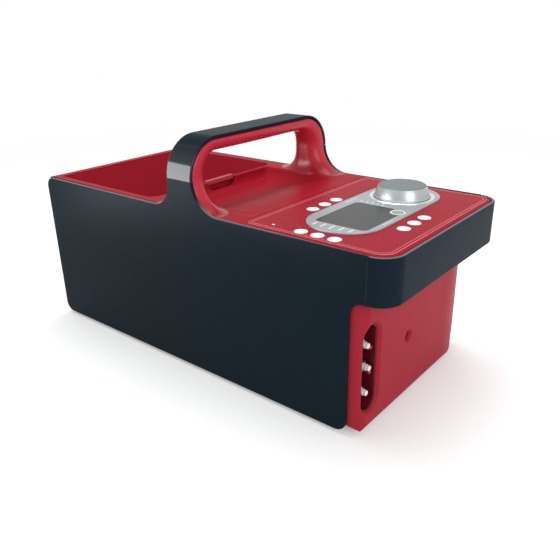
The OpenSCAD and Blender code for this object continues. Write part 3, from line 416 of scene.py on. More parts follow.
def rounded(profile: Sequence[tuple[float, float, float]], steps: int = 5) -> list[Point]:
    """Rounds the corners of a turned profile.

    Args:
        profile: radius, place along the axis and rounding of each corner.
        steps: faces over each rounding.

    Returns:
        The profile as pairs of radius and place.
    """
    found: list[Point] = []
    for i, (r, z, soft) in enumerate(profile):
        here = Vector((r, z))
        if soft <= 0 or i in (0, len(profile) - 1):
            found.append((r, z))
            continue
        before = Vector(profile[i - 1][:2]) - here
        after = Vector(profile[i + 1][:2]) - here
        reach = min(soft, before.length * 0.49, after.length * 0.49)
        a, b = here + before.normalized() * reach, here + after.normalized() * reach
        for k in range(steps + 1):
            t = k / steps
            spot = a * (1 - t) ** 2 + here * 2 * t * (1 - t) + b * t**2
            found.append((spot.x, spot.y))
    return found


# ---------------------------------------------------------------- shader maths

Value = Union["Signal", float]


class Signal:
    """A shader socket that takes part in Python expressions."""

    def __init__(self, graph: "Graph", socket: bpy.types.NodeSocket) -> None:
        """Wraps a socket.

        Args:
            graph: the material's nodes.
            socket: the output socket.
        """
        self.graph = graph
        self.socket = socket

    def _math(self, operation: str, first: Value, second: Value = 0.0) -> "Signal":
        """One Math node on two values."""
        node = self.graph.node("ShaderNodeMath", {"operation": operation}, {0: first, 1: second})
        return Signal(self.graph, node.outputs[0])

    def __add__(self, other: Value) -> "Signal":
        """Sum."""
        return self._math("ADD", self, other)

    def __radd__(self, other: float) -> "Signal":
        """Sum, from the right."""
        return self._math("ADD", other, self)

    def __sub__(self, other: Value) -> "Signal":
        """Difference."""
        return self._math("SUBTRACT", self, other)

    def __rsub__(self, other: float) -> "Signal":
        """Difference, from the right."""
        return self._math("SUBTRACT", other, self)

    def __mul__(self, other: Value) -> "Signal":
        """Product."""
        return self._math("MULTIPLY", self, other)

    def __rmul__(self, other: float) -> "Signal":
        """Product, from the right."""
        return self._math("MULTIPLY", other, self)

    def __truediv__(self, other: Value) -> "Signal":
        """Quotient."""
        return self._math("DIVIDE", self, other)

    def __pow__(self, other: Value) -> "Signal":
        """Power."""
        return self._math("POWER", self, other)

    def sine(self) -> "Signal":
        """Sine of the value."""
        return self._math("SINE", self)

    def between(self, low: float, high: float) -> "Signal":
        """Smooth step from 0 at low to 1 at high."""
        node = self.graph.node(
            "ShaderNodeMapRange",
            {"interpolation_type": "SMOOTHSTEP"},
            {"Value": self, "From Min": low, "From Max": high, "To Min": 0.0, "To Max": 1.0},
        )
        return Signal(self.graph, node.outputs["Result"])


class Graph:
    """The nodes of one material."""

    def __init__(self, name: str) -> None:
        """Starts a material with a plastic shader and nothing else.

        Args:
            name: name of the material.
        """
        self.data = bpy.data.materials.new(name)
        self.data.use_nodes = True
        self.tree = self.data.node_tree
        self.tree.nodes.clear()
        self.shader = self.node("ShaderNodeBsdfPrincipled")
        self.output = self.node("ShaderNodeOutputMaterial", None, {"Surface": self.shader.outputs["BSDF"]})
        self._place: Optional[bpy.types.NodeSocket] = None

    def node(
        self,
        kind: str,
        settings: Optional[dict[str, object]] = None,
        sockets: Optional[dict[Union[str, int], object]] = None,
    ) -> bpy.types.Node:
        """Adds a node.

        Args:
            kind: Blender's name of the node's type.
            settings: its properties, which are set first.
            sockets: values or links of its inputs, by name or number.

        Returns:
            The node.
        """
        made = self.tree.nodes.new(kind)
        for name, value in (settings or {}).items():
            setattr(made, name, value)
        for name, value in (sockets or {}).items():
            socket = made.inputs[name]
            if isinstance(value, Signal):
                self.tree.links.new(value.socket, socket)
            elif isinstance(value, bpy.types.NodeSocket):
                self.tree.links.new(value, socket)
            elif isinstance(value, tuple) and len(value) == 3 and socket.type == "RGBA":
                socket.default_value = (*value, 1.0)
            else:
                socket.default_value = value
        return made

    def place(self) -> bpy.types.NodeSocket:
        """Place of the shaded point in the part's own frame, in metres."""
        if self._place is None:
            self._place = self.node("ShaderNodeTexCoord").outputs["Object"]
        return self._place

    def noise(self, size: float, detail: float = 2.0, roughness: float = 0.5) -> Signal:
        """Noise whose lumps are about a size across.

        Args:
            size: size of a lump, in millimetres.
            detail: octaves of finer noise.
            roughness: strength of those octaves.

        Returns:
            The noise, about 0.5 in the mean.
        """
        made = self.node(
            "ShaderNodeTexNoise",
            None,
            {"Vector": self.place(), "Scale": 1 / (size * MM), "Detail": detail, "Roughness": roughness},
        )
        return Signal(self, made.outputs[0])

    def offset(self, centre: Sequence[float]) -> list[Signal]:
        """Distances from a point along the three axes, in millimetres.

        Args:
            centre: the point, in millimetres.

        Returns:
            The three distances.
        """
        shifted = self.node(
            "ShaderNodeVectorMath",
            {"operation": "SUBTRACT"},
            {0: self.place(), 1: tuple(c * MM for c in centre)},
        )
        scaled = self.node(
            "ShaderNodeVectorMath", {"operation": "SCALE"}, {0: shifted.outputs[0], "Scale": 1 / MM}
        )
        parts = self.node("ShaderNodeSeparateXYZ", None, {0: scaled.outputs[0]})
        return [Signal(self, out) for out in parts.outputs]

    def mixed(self, share: Value, first: object, second: object, way: str = "MIX") -> bpy.types.NodeSocket:
        """Mixes two colours.

        Args:
            share: how much of the second colour shows.
            first, second: colours or links.
            way: Blender's name of the way to mix.

        Returns:
            The mixed colour.
        """
        made = self.node(
            "ShaderNodeMix",
            {"data_type": "RGBA", "blend_type": way, "clamp_factor": True},
            {0: share, 6: first, 7: second},
        )
        return made.outputs[2]

    def edge_nearness(self, radius: float) -> tuple[bpy.types.NodeSocket, Signal]:
        """Softened normal, and how near a sharp edge the point is.

        Args:
            radius: radius of the softening, in millimetres.

        Returns:
            The normal, and the nearness from 0 to 1.
        """
        soft = self.node("ShaderNodeBevel", {"samples": 6}, {"Radius": radius * MM})
        face = self.node("ShaderNodeNewGeometry")
        match = self.node(
            "ShaderNodeVectorMath",
            {"operation": "DOT_PRODUCT"},
            {0: soft.outputs["Normal"], 1: face.outputs["Normal"]},
        )
        return soft.outputs["Normal"], (1 - Signal(self, match.outputs["Value"])).between(0.02, 0.22)

    def bump(
        self, height: Signal, depth: float, under: Optional[bpy.types.NodeSocket] = None
    ) -> bpy.types.NodeSocket:
        """Normal of a finely uneven surface.

        Args:
            height: the unevenness, from 0 to 1.
            depth: its depth, in millimetres.
            under: the normal that it lies on.

        Returns:
            The normal.
        """
        sockets: dict[Union[str, int], object] = {"Strength": 1.0, "Distance": depth * MM, "Height": height}
        if under is not None:
            sockets["Normal"] = under
        return self.node("ShaderNodeBump", None, sockets).outputs["Normal"]

    def feed(self, name: str, value: object) -> None:
        """Gives one of the shader's own sockets a value or a link."""
        socket = self.shader.inputs[name]
        if isinstance(value, Signal):
            self.tree.links.new(value.socket, socket)
        elif isinstance(value, bpy.types.NodeSocket):
            self.tree.links.new(value, socket)
        elif isinstance(value, tuple) and len(value) == 3:
            socket.default_value = (*value, 1.0)
        else:
            socket.default_value = value


# ---------------------------------------------------------------- finishes


@dataclass(frozen=True)
class Finish:
    """Base of the finishes: a name, and the material that it makes once."""

    name: str
    color: Color

    def material(self) -> bpy.types.Material:
        """The material, made on its first use."""
        known = bpy.data.materials.get(self.name)
        return known if known else self._made()

    def _made(self) -> bpy.types.Material:
        """Makes the material."""
        raise NotImplementedError

    def paler(self, share: float, towards: float = 1.0) -> Color:
        """The finish's colour, moved a share of the way to a grey."""
        return tuple(c + (towards - c) * share for c in self.color)

    def scaled(self, factor: float) -> Color:
        """The finish's colour, made lighter or darker by a factor."""
        return tuple(min(c * factor, 1.0) for c in self.color)

    def rubbed_and_glint(self) -> Color:
        """The paler colour painted on scuffed edges, also used as painted highlight where edges and rims catch the
        light.
        """
        return tuple(0.15 + 0.85 * c for c in self.scaled(2.0))


@dataclass(frozen=True)
class Moulded(Finish):
    """Injection-moulded plastic with fine grain, faint clouding, and paler edges that are partly scuffing and
    partly painted highlight.

    Attributes:
        roughness: how matt it is.
        specular: strength of its mirror reflection.
        grain: size of the mould's grain.
        depth: depth of the grain.
        cloud: strength of the clouding.
        edge: radius of the softening at sharp edges, 0 for none.
        edge_glint_and_wear: how much paler sharp edges are painted, partly for scuffing and partly as painted
            highlight where rounded edges catch the light.
        coat: share of a glossy skin.
        coat_top: heights between which the skin ends, where it does.
        top_highlight: how much paler the rims and faces that point up are painted, a painted highlight of light
            from above.
        foot: colour that the piece takes towards the deck, and the heights between which it changes.
    """

    roughness: float = 0.4
    specular: float = 0.4
    grain: float = 0.35
    depth: float = 0.004
    cloud: float = 0.06
    edge: float = 0.5
    edge_glint_and_wear: float = 0.12
    coat: float = 0.0
    coat_top: Optional[tuple[float, float]] = None
    top_highlight: float = 0.0
    foot: Optional[tuple[Color, float, float]] = None

    def _made(self) -> bpy.types.Material:
        """Makes the material."""
        g = Graph(self.name)
        clouds = g.noise(38, 3)
        flecks = g.noise(self.grain * 3, 2)
        tint = g.mixed(clouds, self.scaled(1 - self.cloud), self.scaled(1 + self.cloud))
        if self.foot:
            low, start, stop = self.foot
            height = g.offset((0.0, 0.0, 0.0))[2]
            tint = g.mixed((height + (clouds - 0.5) * 4).between(start, stop), low, tint)
        tint = g.mixed((flecks - 0.5) * 0.35, tint, self.scaled(1.35))
        # Painted highlight: surfaces that point up are painted paler, as light from above would brighten them.
        if self.top_highlight:
            face = g.node("ShaderNodeNewGeometry")
            up = Signal(g, g.node("ShaderNodeSeparateXYZ", None, {0: face.outputs["Normal"]}).outputs[2])
            tint = g.mixed(up.between(0.45, 0.95) * self.top_highlight, tint, self.rubbed_and_glint())
        normal = None
        if self.edge:
            normal, near = g.edge_nearness(self.edge)
            # Painted highlight and scuffing: near sharp edges the colour is painted paler in patches, partly worn
            # edges and partly the glint of light on rounded rims.
            rubbed_and_glint = near * g.noise(7, 3).between(0.28, 0.55) * self.edge_glint_and_wear
            tint = g.mixed(rubbed_and_glint, tint, self.rubbed_and_glint())
        g.feed("Base Color", tint)
        g.feed("Roughness", self.roughness + (g.noise(16, 4) - 0.5) * 0.08 + (flecks - 0.5) * 0.06)
        g.feed("Normal", g.bump(g.noise(self.grain, 2), self.depth, normal))
        g.feed("Specular IOR Level", self.specular)
        if self.coat:
            skin: Value = self.coat
            if self.coat_top:
                skin = (1 - g.offset((0.0, 0.0, 0.0))[2].between(*self.coat_top)) * self.coat
            g.feed("Coat Weight", skin)
            g.feed("Coat Roughness", 0.12)
        return g.data


@dataclass(frozen=True)
class Turned(Finish):
    """Metal turned on a lathe, with its tool marks round the axis.

    Attributes:
        axis: a point on the axis.
        pitch: distance between the marks.
        roughness: how satin it is.
        marks: depth of the marks.
        top: height from which the satin top face starts, where it has one.
        top_color: colour of that face.
        metallic: share of metal in the shader.
    """

    axis: tuple[float, float, float] = (0.0, 0.0, 0.0)
    pitch: float = 0.35
    roughness: float = 0.2
    marks: float = 0.003
    top: Optional[float] = None
    top_color: Color = (0.3, 0.3, 0.3)
    metallic: float = 1.0

    def _made(self) -> bpy.types.Material:
        """Makes the material."""
        g = Graph(self.name)
        x, y, z = g.offset(self.axis)
        out = (x * x + y * y) ** 0.5
        lines = ((out + g.noise(6, 2) * 0.1) * (2 * math.pi / self.pitch)).sine() * 0.5 + 0.5
        smears = g.noise(9, 3)
        tint = g.mixed(smears, self.paler(0.08, 0.0), self.paler(0.10))
        rough = self.roughness + (smears - 0.5) * 0.1
        if self.top is not None:
            face = z.between(self.top, self.top + 0.25)
            tint = g.mixed(face, tint, g.mixed(lines * 0.2, self.top_color, self.paler(0.1)))
            rough = rough + face * 0.22
        g.feed("Base Color", tint)
        g.feed("Roughness", rough)
        g.feed("Metallic", self.metallic)
        g.feed("Normal", g.bump(lines, self.marks))
        return g.data


@dataclass(frozen=True)
class Painted(Finish):
    """Satin paint with fine metal flake over a plain ground.

    Attributes:
        roughness: how satin it is.
        metallic: share of metal in the shader.
        flake: size of the flakes.
    """

    roughness: float = 0.34
    metallic: float = 0.35
    flake: float = 0.25

    def _made(self) -> bpy.types.Material:
        """Makes the material."""
        g = Graph(self.name)
        flakes = g.node("ShaderNodeTexVoronoi", None, {"Vector": g.place(), "Scale": 1 / (self.flake * MM)})
        glint = Signal(g, flakes.outputs["Distance"])
        normal, near = g.edge_nearness(0.4)
        tint = g.mixed(glint * 0.35, self.paler(0.10, 0.0), self.paler(0.18))
        tint = g.mixed(near * g.noise(5, 3).between(0.35, 0.6) * 0.4, tint, self.paler(0.6))
        g.feed("Base Color", tint)
        g.feed("Roughness", self.roughness + (g.noise(14, 3) - 0.5) * 0.14)
        g.feed("Metallic", self.metallic)
        g.feed("Normal", g.bump(glint, 0.002, normal))
        return g.data


@dataclass(frozen=True)
class Display(Finish):
    """Clear window over a reflective display, cool at its far end and olive towards the user.

    Attributes:
        far_color: colour at the far end.
        near_y, far_y: ends of the blend.
        frame: the window's low and high corner, with the dark surround inside it.
    """

    far_color: Color = (0.1, 0.12, 0.12)
    near_y: float = -50.0
    far_y: float = 5.0
    frame: tuple[float, float, float, float] = (0.0, 0.0, 1.0, 1.0)

    def _made(self) -> bpy.types.Material:
        """Makes the material."""
        g = Graph(self.name)
        x, y, _ = g.offset((0, 0, 0))
        cool = (y + (g.noise(30, 2) - 0.5) * 14).between(self.near_y, self.far_y)
        tint = g.mixed(cool, self.color, self.far_color)
        x0, y0, x1, y1 = self.frame
        inside = (x - x0).between(0.9, 1.3) * (x1 - x).between(0.9, 1.3)
        inside = inside * (y - y0).between(0.9, 1.3) * (y1 - y).between(0.9, 1.3)
        tint = g.mixed(1 - inside, tint, tuple(0.45 * c for c in self.far_color))
        grid = (x * (2 * math.pi / 0.7)).sine() * (y * (2 * math.pi / 0.7)).sine()
        tint = g.mixed(grid * 0.03 + 0.03, tint, self.paler(0.5))
        g.feed("Base Color", tint)
        g.feed("Roughness", 0.16 + g.noise(18, 4) * 0.12)
        g.feed("Normal", g.bump(g.noise(9, 2), 0.01))
        g.feed("Specular IOR Level", 0.1)
        return g.data


@dataclass(frozen=True)
class Board(Finish):
    """Solder-masked circuit board with faint tracks under the mask."""

    def _made(self) -> bpy.types.Material:
        """Makes the material."""
        g = Graph(self.name)
        x, y, _ = g.offset((0, 0, 0))
        wander = g.noise(12, 1)
        tracks = ((x + y + wander * 16) * (2 * math.pi / 2.6)).sine().between(0.45, 0.6)
        g.feed("Base Color", g.mixed(tracks * 0.5, self.color, self.paler(0.18)))
        g.feed("Roughness", 0.32 + g.noise(10, 3) * 0.14)
        g.feed("Normal", g.bump(tracks, 0.03))
        return g.data


@dataclass(frozen=True)
class Rubber(Finish):
    """Moulded rubber or soft tube with a dusty bloom.

    Attributes:
        roughness: how matt it is.
        bloom: how much paler the bloom is.
    """

    roughness: float = 0.7
    bloom: float = 0.06

    def _made(self) -> bpy.types.Material:
        """Makes the material."""
        g = Graph(self.name)
        dust = g.noise(5, 4).between(0.4, 0.75)
        normal, near = g.edge_nearness(0.4)
        tint = g.mixed(dust * 0.7 + near * 0.3, self.color, self.paler(self.bloom))
        g.feed("Base Color", tint)
        g.feed("Roughness", self.roughness + (dust - 0.5) * 0.12)
        g.feed("Normal", g.bump(g.noise(0.6, 3), 0.02, normal))
        g.feed("Specular IOR Level", 0.3)
        return g.data


KNOB_AXIS = (135.0, 45.5, 159.5)


@dataclass(frozen=True)
class Palette:
    """Every finish of the machine, named after the record's material slots."""

    # Painted highlight: the black shell's up-facing rims are painted pale grey, and its edges paler, for the light
    # caught by its rounded rims.
    shell_black: Finish = Moulded(
        "moulded_black", (0.0075, 0.0165, 0.0240), roughness=0.34, specular=0.03, grain=0.5, depth=0.0015,
        cloud=0.05, edge=0.7, edge_glint_and_wear=0.35, top_highlight=0.85,
    )
    strap_black: Finish = Moulded(
        "gloss_black", (0.0080, 0.0165, 0.0235), roughness=0.30, specular=0.01, grain=0.6, depth=0.0012,
        cloud=0.06, edge=0.7, edge_glint_and_wear=0.25, coat=0.6, coat_top=(200.0, 214.0),
    )
    housing_red: Finish = Moulded(
        "satin_red_face", (0.360, 0.021, 0.037), roughness=0.42, specular=0.05, grain=0.45, depth=0.004,
        edge=0.9, edge_glint_and_wear=0.16,
    )
    # Its strong edge paling is painted highlight: the rims round the lid's opening and the holes show pale lines
    # of light.
    deck_red: Finish = Moulded(
        "satin_red_deck", (0.325, 0.009, 0.020), roughness=0.38, specular=0.02, grain=0.4, depth=0.003, edge_glint_and_wear=0.5,
    )
    grip_red: Finish = Moulded(
        "gloss_red_grip", (0.520, 0.026, 0.050), roughness=0.27, specular=0.22, grain=0.5, depth=0.002,
        cloud=0.04, edge=0.0, foot=((0.325, 0.009, 0.020), 157.0, 176.0),
    )
    # Painted shade: a darker copy of the deck's red, for the lid's darker look under the lamps; its strong edge
    # paling is painted highlight on the rounded rims.
    lid_red: Finish = Moulded(
        "satin_red_lid", (0.225, 0.009, 0.017), roughness=0.40, specular=0.0, grain=0.4, depth=0.003, edge_glint_and_wear=0.6,
    )
    # Painted light: a paler copy of the lid's red, so that the pull reads light-edged instead of shaded.
    pull_red: Finish = Moulded(
        "satin_red_pull", (0.42, 0.050, 0.068), roughness=0.34, specular=0.1, grain=0.4, depth=0.002, edge=0.0,
    )
    film_red: Finish = Moulded(
        "printed_red_film", (0.325, 0.015, 0.028), roughness=0.40, specular=0.03, grain=0.25, depth=0.003,
        cloud=0.03, edge=0.25, edge_glint_and_wear=0.2,
    )
    film_edge: Finish = Moulded(
        "cut_film_edge", (0.72, 0.22, 0.26), roughness=0.3, grain=0.3, depth=0.001, edge=0.0,
    )
    # Painted shade: the cup is the housing's red, painted far darker for the shade inside the socket's recess.
    socket_red: Finish = Moulded(
        "shaded_red_cup", (0.110, 0.004, 0.009), roughness=0.36, specular=0.4, edge=0.6, edge_glint_and_wear=0.2,
    )
    guide_red: Finish = Moulded(
        "gloss_red_pin", (0.34, 0.010, 0.022), roughness=0.22, specular=0.5, edge=0.0,
    )
    bezel_silver: Finish = Painted("silver_paint", (0.31, 0.345, 0.355), metallic=0.2)
    tick_pale: Finish = Painted("pale_print", (0.80, 0.83, 0.84), roughness=0.4, metallic=0.1)
    window_glass: Finish = Display(
        "display_window", (0.040, 0.042, 0.034), far_color=(0.028, 0.036, 0.039), near_y=-48, far_y=0,
        frame=(112, -58, 160.5, 7),
    )
    display_grey: Finish = Moulded("display_body", (0.10, 0.11, 0.10), roughness=0.5)
    knob_silver: Finish = Turned(
        "knob_metal", (0.42, 0.45, 0.465), axis=KNOB_AXIS, pitch=0.5, roughness=0.34, marks=0.0015,
        top=9.9, top_color=(0.125, 0.150, 0.155), metallic=0.55,
    )
    trim_silver: Finish = Turned(
        "trim_metal", (0.72, 0.74, 0.75), axis=KNOB_AXIS, pitch=0.4, roughness=0.14, marks=0.002, metallic=0.95,
    )
    steel: Finish = Turned("turned_steel", (0.56, 0.57, 0.58), pitch=0.4, roughness=0.24, marks=0.002)
    screw_steel: Finish = Turned("zinc_steel", (0.46, 0.47, 0.48), pitch=0.5, roughness=0.34, marks=0.002)
    button_white: Finish = Moulded(
        "button_white", (0.70, 0.70, 0.72), roughness=0.36, specular=0.4, grain=0.3, depth=0.002, cloud=0.03,
        edge=0.3, edge_glint_and_wear=0.0,
    )
    button_grey: Finish = Moulded(
        "button_grey", (0.19, 0.205, 0.165), roughness=0.38, specular=0.4, grain=0.3, depth=0.002, edge=0.3,
    )
    valve_white: Finish = Moulded(
        "acetal_white", (0.80, 0.81, 0.80), roughness=0.3, specular=0.5, grain=0.3, depth=0.001, cloud=0.03,
        edge=0.3, edge_glint_and_wear=0.0,
    )
    led_white: Finish = Moulded("lens_white", (0.86, 0.80, 0.80), roughness=0.25, grain=0.3, depth=0.001, edge=0.0)
    board_green: Finish = Board("board_green", (0.02, 0.16, 0.07))
    part_grey: Finish = Moulded("part_grey", (0.11, 0.12, 0.13), roughness=0.5)
    tub_natural: Finish = Moulded("tub_natural", (0.52, 0.51, 0.47), roughness=0.42, cloud=0.08, edge=0.8)
    filter_white: Finish = Moulded("filter_white", (0.74, 0.75, 0.74), roughness=0.45)
    tray_grey: Finish = Painted("tray_paint", (0.20, 0.21, 0.22), roughness=0.5, metallic=0.2)
    pump_black: Finish = Moulded("pump_black", (0.028, 0.028, 0.032), roughness=0.5, edge=0.8)
    pump_metal: Finish = Painted("cast_metal", (0.48, 0.49, 0.50), roughness=0.42, metallic=0.85, flake=0.6)
    block_natural: Finish = Moulded("block_natural", (0.58, 0.58, 0.54), roughness=0.45, edge=0.8)
    hose_clear: Finish = Rubber("soft_tube", (0.56, 0.56, 0.52), roughness=0.35, bloom=0.2)
    rubber_black: Finish = Rubber("rubber_black", (0.016, 0.016, 0.018))


PALETTE = Palette()


def dress(frame: dict, nodes: Iterable[str], slot: str) -> None:
    """Gives CAD nodes that stay their finish.

    Args:
        nodes: names of the nodes.
        slot: name of the finish in the palette, and of the record's slot.
    """
    finish: Finish = getattr(PALETTE, slot)
    for name in nodes:
        node = frame["nodes"][name]
        if not node.material_slots:
            node.data.materials.append(finish.material())
        for spot in node.material_slots:
            spot.material = finish.material()
        log.info("%s: kept from the CAD, in %s", name, finish.name)


# ---------------------------------------------------------------- black shell


@dataclass
class Shell:
    """Side panels, front band and handle strap in black plastic.

    Attributes:
        panel_r: radius of the side panels' outer corners.
        tuck_r: radius of the inside corner under the band.
        seam: half width of the seam between panel and strap.
        lip_t: thickness of the band's underside.
        rim: rounding of the rims that show.
    """

    panel_r: float = 10.0
    tuck_r: float = 12.0
    seam: float = 0.12
    lip_t: float = 2.5
    rim: float = 0.9

    def panel_outline(self) -> Outline:
        """Side view of a panel, from its rear bottom corner round by the front."""
        b = BODY
        out = Outline()
        out.arc(b.x_rear + self.panel_r, b.side_z + self.panel_r, self.panel_r, 180, 270)
        out.arc(b.x_panel - self.panel_r, b.side_z + self.panel_r, self.panel_r, 270, 360)
        out.arc(b.x_panel + self.tuck_r, b.band_z - self.tuck_r, self.tuck_r, 180, 90)
        joint = b.x_band - b.band_r
        out.to(joint, b.band_z).to(joint, b.deck_z)
        top = b.strap_z - self.seam
        lean = math.degrees(math.asin((b.deck_z + b.foot_front - top) / b.foot_front))
        out.arc(b.handle_half + b.foot_front, b.deck_z + b.foot_front, b.foot_front, 270, 180 + lean, 24)
        out.to(b.handle_half, top).to(-b.handle_half, top)
        out.arc(-b.handle_half - b.foot_rear, b.deck_z + b.foot_rear, b.foot_rear, 0, -90, 20)
        out.arc(b.x_rear + self.panel_r, b.deck_z - self.panel_r, self.panel_r, 90, 180)
        return out

    def _panel_soft(self, x: float, z: float) -> float:
        """Rounding that a panel keeps: none where it meets the band or the strap."""
        if x > BODY.x_band - BODY.band_r - 0.1:
            return 0.0
        return 0.35 if z > BODY.strap_z - 0.5 else 1.0

    def build_panels(self) -> None:
        """Builds the two side panels."""
        b = BODY
        for name, side in (("side_panel_near", -1), ("side_panel_far", 1)):
            low, high = sorted((side * b.y_side, side * b.y_in))
            edge = Edge(0.35, self.rim) if side < 0 else Edge(self.rim, 0.35)
            sculpt = Sculpt(f"{name}_shell")
            sculpt.plate(self.panel_outline(), low, high, edge, plane=Plane.SIDE, soft=self._panel_soft)
            sculpt.finish(PALETTE.shell_black, "shell_black", [name])

    def band_outline(self) -> Outline:
        """Plan of the band's wall."""
        b = BODY
        x, y, r = b.x_band - b.band_r, b.y_side - b.band_r, b.band_r
        out = Outline().arc(x, -y, r, -90, 0, 20).arc(x, y, r, 0, 90, 20)
        return out.arc(x, y, r - b.shell_t, 90, 0, 20).arc(x, -y, r - b.shell_t, 0, -90, 20)

    def lip_outline(self) -> Outline:
        """Plan of the band's underside, round the housing's front."""
        b = BODY
        x, y, r = b.x_band - b.band_r, b.y_side - b.band_r, b.band_r - b.shell_t
        gap, crown, crown_y, corner = 0.3, 100.0, 48.0, 10.0
        out = Outline([(b.x_panel, -b.y_in)])
        out.arc(x, -y, r, -90, 0, 16).arc(x, y, r, 0, 90, 16).to(b.x_panel, b.y_in)
        reach = math.degrees(math.asin((b.y_in - crown_y) / (crown + gap)))
        out.arc(b.x_face - crown, crown_y, crown + gap, reach, 0, 20)
        return out.arc(b.x_face - corner, corner - b.y_in, corner + gap, 0, -60, 8)

    def build_band(self) -> None:
        """Builds the front band with its underside."""
        b = BODY
        joint = b.x_band - b.band_r + 0.1
        sculpt = Sculpt("front_band_shell")
        sculpt.plate(
            self.band_outline(), b.band_z, b.deck_z, Edge(self.rim, 1.2),
            soft=lambda x, y: 0.0 if x < joint else 1.0,
        )
        sculpt.plate(self.lip_outline(), b.band_z + 0.02, b.band_z + self.lip_t, Edge(0.2, 0.2))
        sculpt.finish(PALETTE.shell_black, "shell_black", ["front_band"])

    def build_strap(self) -> None:
        """Builds the strap over the handle."""
        b = BODY
        y, r, z = b.y_side - b.handle_r, b.handle_r, b.strap_z
        out = Outline([(b.y_side, z + self.seam)]).arc(y, z, r, 1, 90, 36).arc(-y, z, r, 90, 179, 36)
        out.to(-b.y_side, z + self.seam).to(-b.y_in, z + self.seam)
        out.arc(-y, z, r - b.shell_t, 179, 90, 36).arc(y, z, r - b.shell_t, 90, 1, 36).to(b.y_in, z + self.seam)
        sculpt = Sculpt("handle_strap_shell")
        sculpt.plate(out, -b.handle_half, b.handle_half, Edge(1.1, 1.1), plane=Plane.CROSS)
        sculpt.finish(PALETTE.strap_black, "strap_black", ["handle_strap"])

    def build(self) -> None:
        """Builds the whole shell."""
        self.build_panels()
        self.build_band()
        self.build_strap()


# ---------------------------------------------------------------- grip


@dataclass(frozen=True)
class GripRing:
    """One station of the grip.

    Attributes:
        outer: point under the strap, in the YZ plane.
        inner: point at the hand opening.
        rear, front: reach behind and ahead of the handle's middle.
        height: height over the deck, where the foot runs into the hand opening.
    """

    outer: Vector
    inner: Vector
    rear: float
    front: float
    height: float = 99.0

    def mirrored(self) -> "GripRing":
        """The same station on the other leg."""
        flip = Vector((-1, 1))
        return GripRing(self.outer * flip, self.inner * flip, self.rear, self.front, self.height)


@dataclass
class Grip:
    """The red grip: a loft round the hand opening, from foot to foot.

    Attributes:
        edge_r: rounding beside the strap.
        palm_r: rounding towards the hand.
        gap_r: radius of the opening's upper corners.
        thickness: thickness of the bar.
        sink: how far the legs run down into the deck.
        steps: stations over a leg, over a bend and over half of the bar.
    """

    edge_r: float = 2.5
    palm_r: float = 12.0
    gap_r: float = 18.0
    thickness: float = 11.2
    sink: float = 5.0
    steps: tuple[int, int, int] = (26, 26, 6)

    @staticmethod
    def flare(radius: float, z: float) -> float:
        """How far a foot of a radius stands out at a height over the deck."""
        if z >= radius:
            return 0.0
        return radius - math.sqrt(max(radius**2 - (radius - max(z, 0.0)) ** 2, 0.0))

    def stations(self) -> list[GripRing]:
        """All stations, from the near foot over the bar to the far foot."""
        b = BODY
        top = b.handle_top - b.shell_t
        bend = b.handle_r - b.shell_t
        outer_y = b.y_in - bend
        inner_y, inner_z = b.gap_y - self.gap_r, top - self.thickness - self.gap_r
        half = b.handle_half
        leg, turn, bar = self.steps
        rings = []
        for drop in (self.sink, self.sink * 0.6, self.sink * 0.25):
            rings.append(GripRing(Vector((b.y_in, b.deck_z - drop)), Vector((b.gap_y, b.deck_z - drop)),
                                  half + b.foot_rear, half + b.foot_front, -drop))
        for i in range(leg + 1):
            u = (i / leg) ** 1.6
            zo, zi = (b.strap_z - b.deck_z) * u, (inner_z - b.deck_z) * u
            rings.append(GripRing(
                Vector((b.y_in, b.deck_z + zo)), Vector((b.gap_y, b.deck_z + zi)),
                half + self.flare(b.foot_rear, zo), half + self.flare(b.foot_front, zo), zi,
            ))
        for i in range(1, turn + 1):
            way = Vector((math.cos(math.pi / 2 * i / turn), math.sin(math.pi / 2 * i / turn)))
            rings.append(GripRing(
                Vector((outer_y, b.strap_z)) + way * bend,
                Vector((inner_y, inner_z)) + way * self.gap_r, half, half,
            ))
        for i in range(1, bar):
            u = 1 - i / bar
            rings.append(GripRing(
                Vector((outer_y * u, top)), Vector((inner_y * u, top - self.thickness)), half, half,
            ))
        middle = GripRing(Vector((0, top)), Vector((0, top - self.thickness)), half, half)
        return rings + [middle] + [ring.mirrored() for ring in reversed(rings)]

    @staticmethod
    def reach(x: float, height: float) -> float:
        """How far the foot runs into the opening, tangent to the saddle's floor below it."""
        rise = BODY.foot_centre - height
        if rise <= 0:
            return 0.0
        r = BODY.foot_centre - saddle_floor(x)
        return r - math.sqrt(max(r**2 - min(rise, r) ** 2, 0.0)) - (0.2 if height < 0 else 0.0)

    def section(self, ring: GripRing) -> list[Vector]:
        """Points round one station."""
        across = ring.inner - ring.outer
        t = across.length
        e = self.edge_r
        palm = min(self.palm_r, t - e - 0.3)
        flat = Outline().arc(ring.front - e, e, e, -90, 0, 6)
        for side, far in ((1, ring.front), (-1, ring.rear)):
            long = palm + far - BODY.handle_half
            for i in range(17)[::side]:
                a = math.pi / 2 * i / 16
                x = side * (far - long + long * math.cos(a))
                flat.to(x, t - palm + (palm + self.reach(x, ring.height)) * math.sin(a))
        flat.arc(e - ring.rear, e, e, 180, 270, 6)
        way = across / t
        return [Vector((x, ring.outer.x + way.x * d, ring.outer.y + way.y * d)) for x, d in flat.points]

    def build(self) -> None:
        """Builds the grip."""
        sculpt = Sculpt("handle_grip_ring")
        made = sculpt.strip([self.section(ring) for ring in self.stations()])
        for row in (made[0], made[-1]):
            sculpt.mesh.faces.new(row)
        sculpt.finish(PALETTE.grip_red, "grip_red", ["handle_grip"])


# ---------------------------------------------------------------- decks


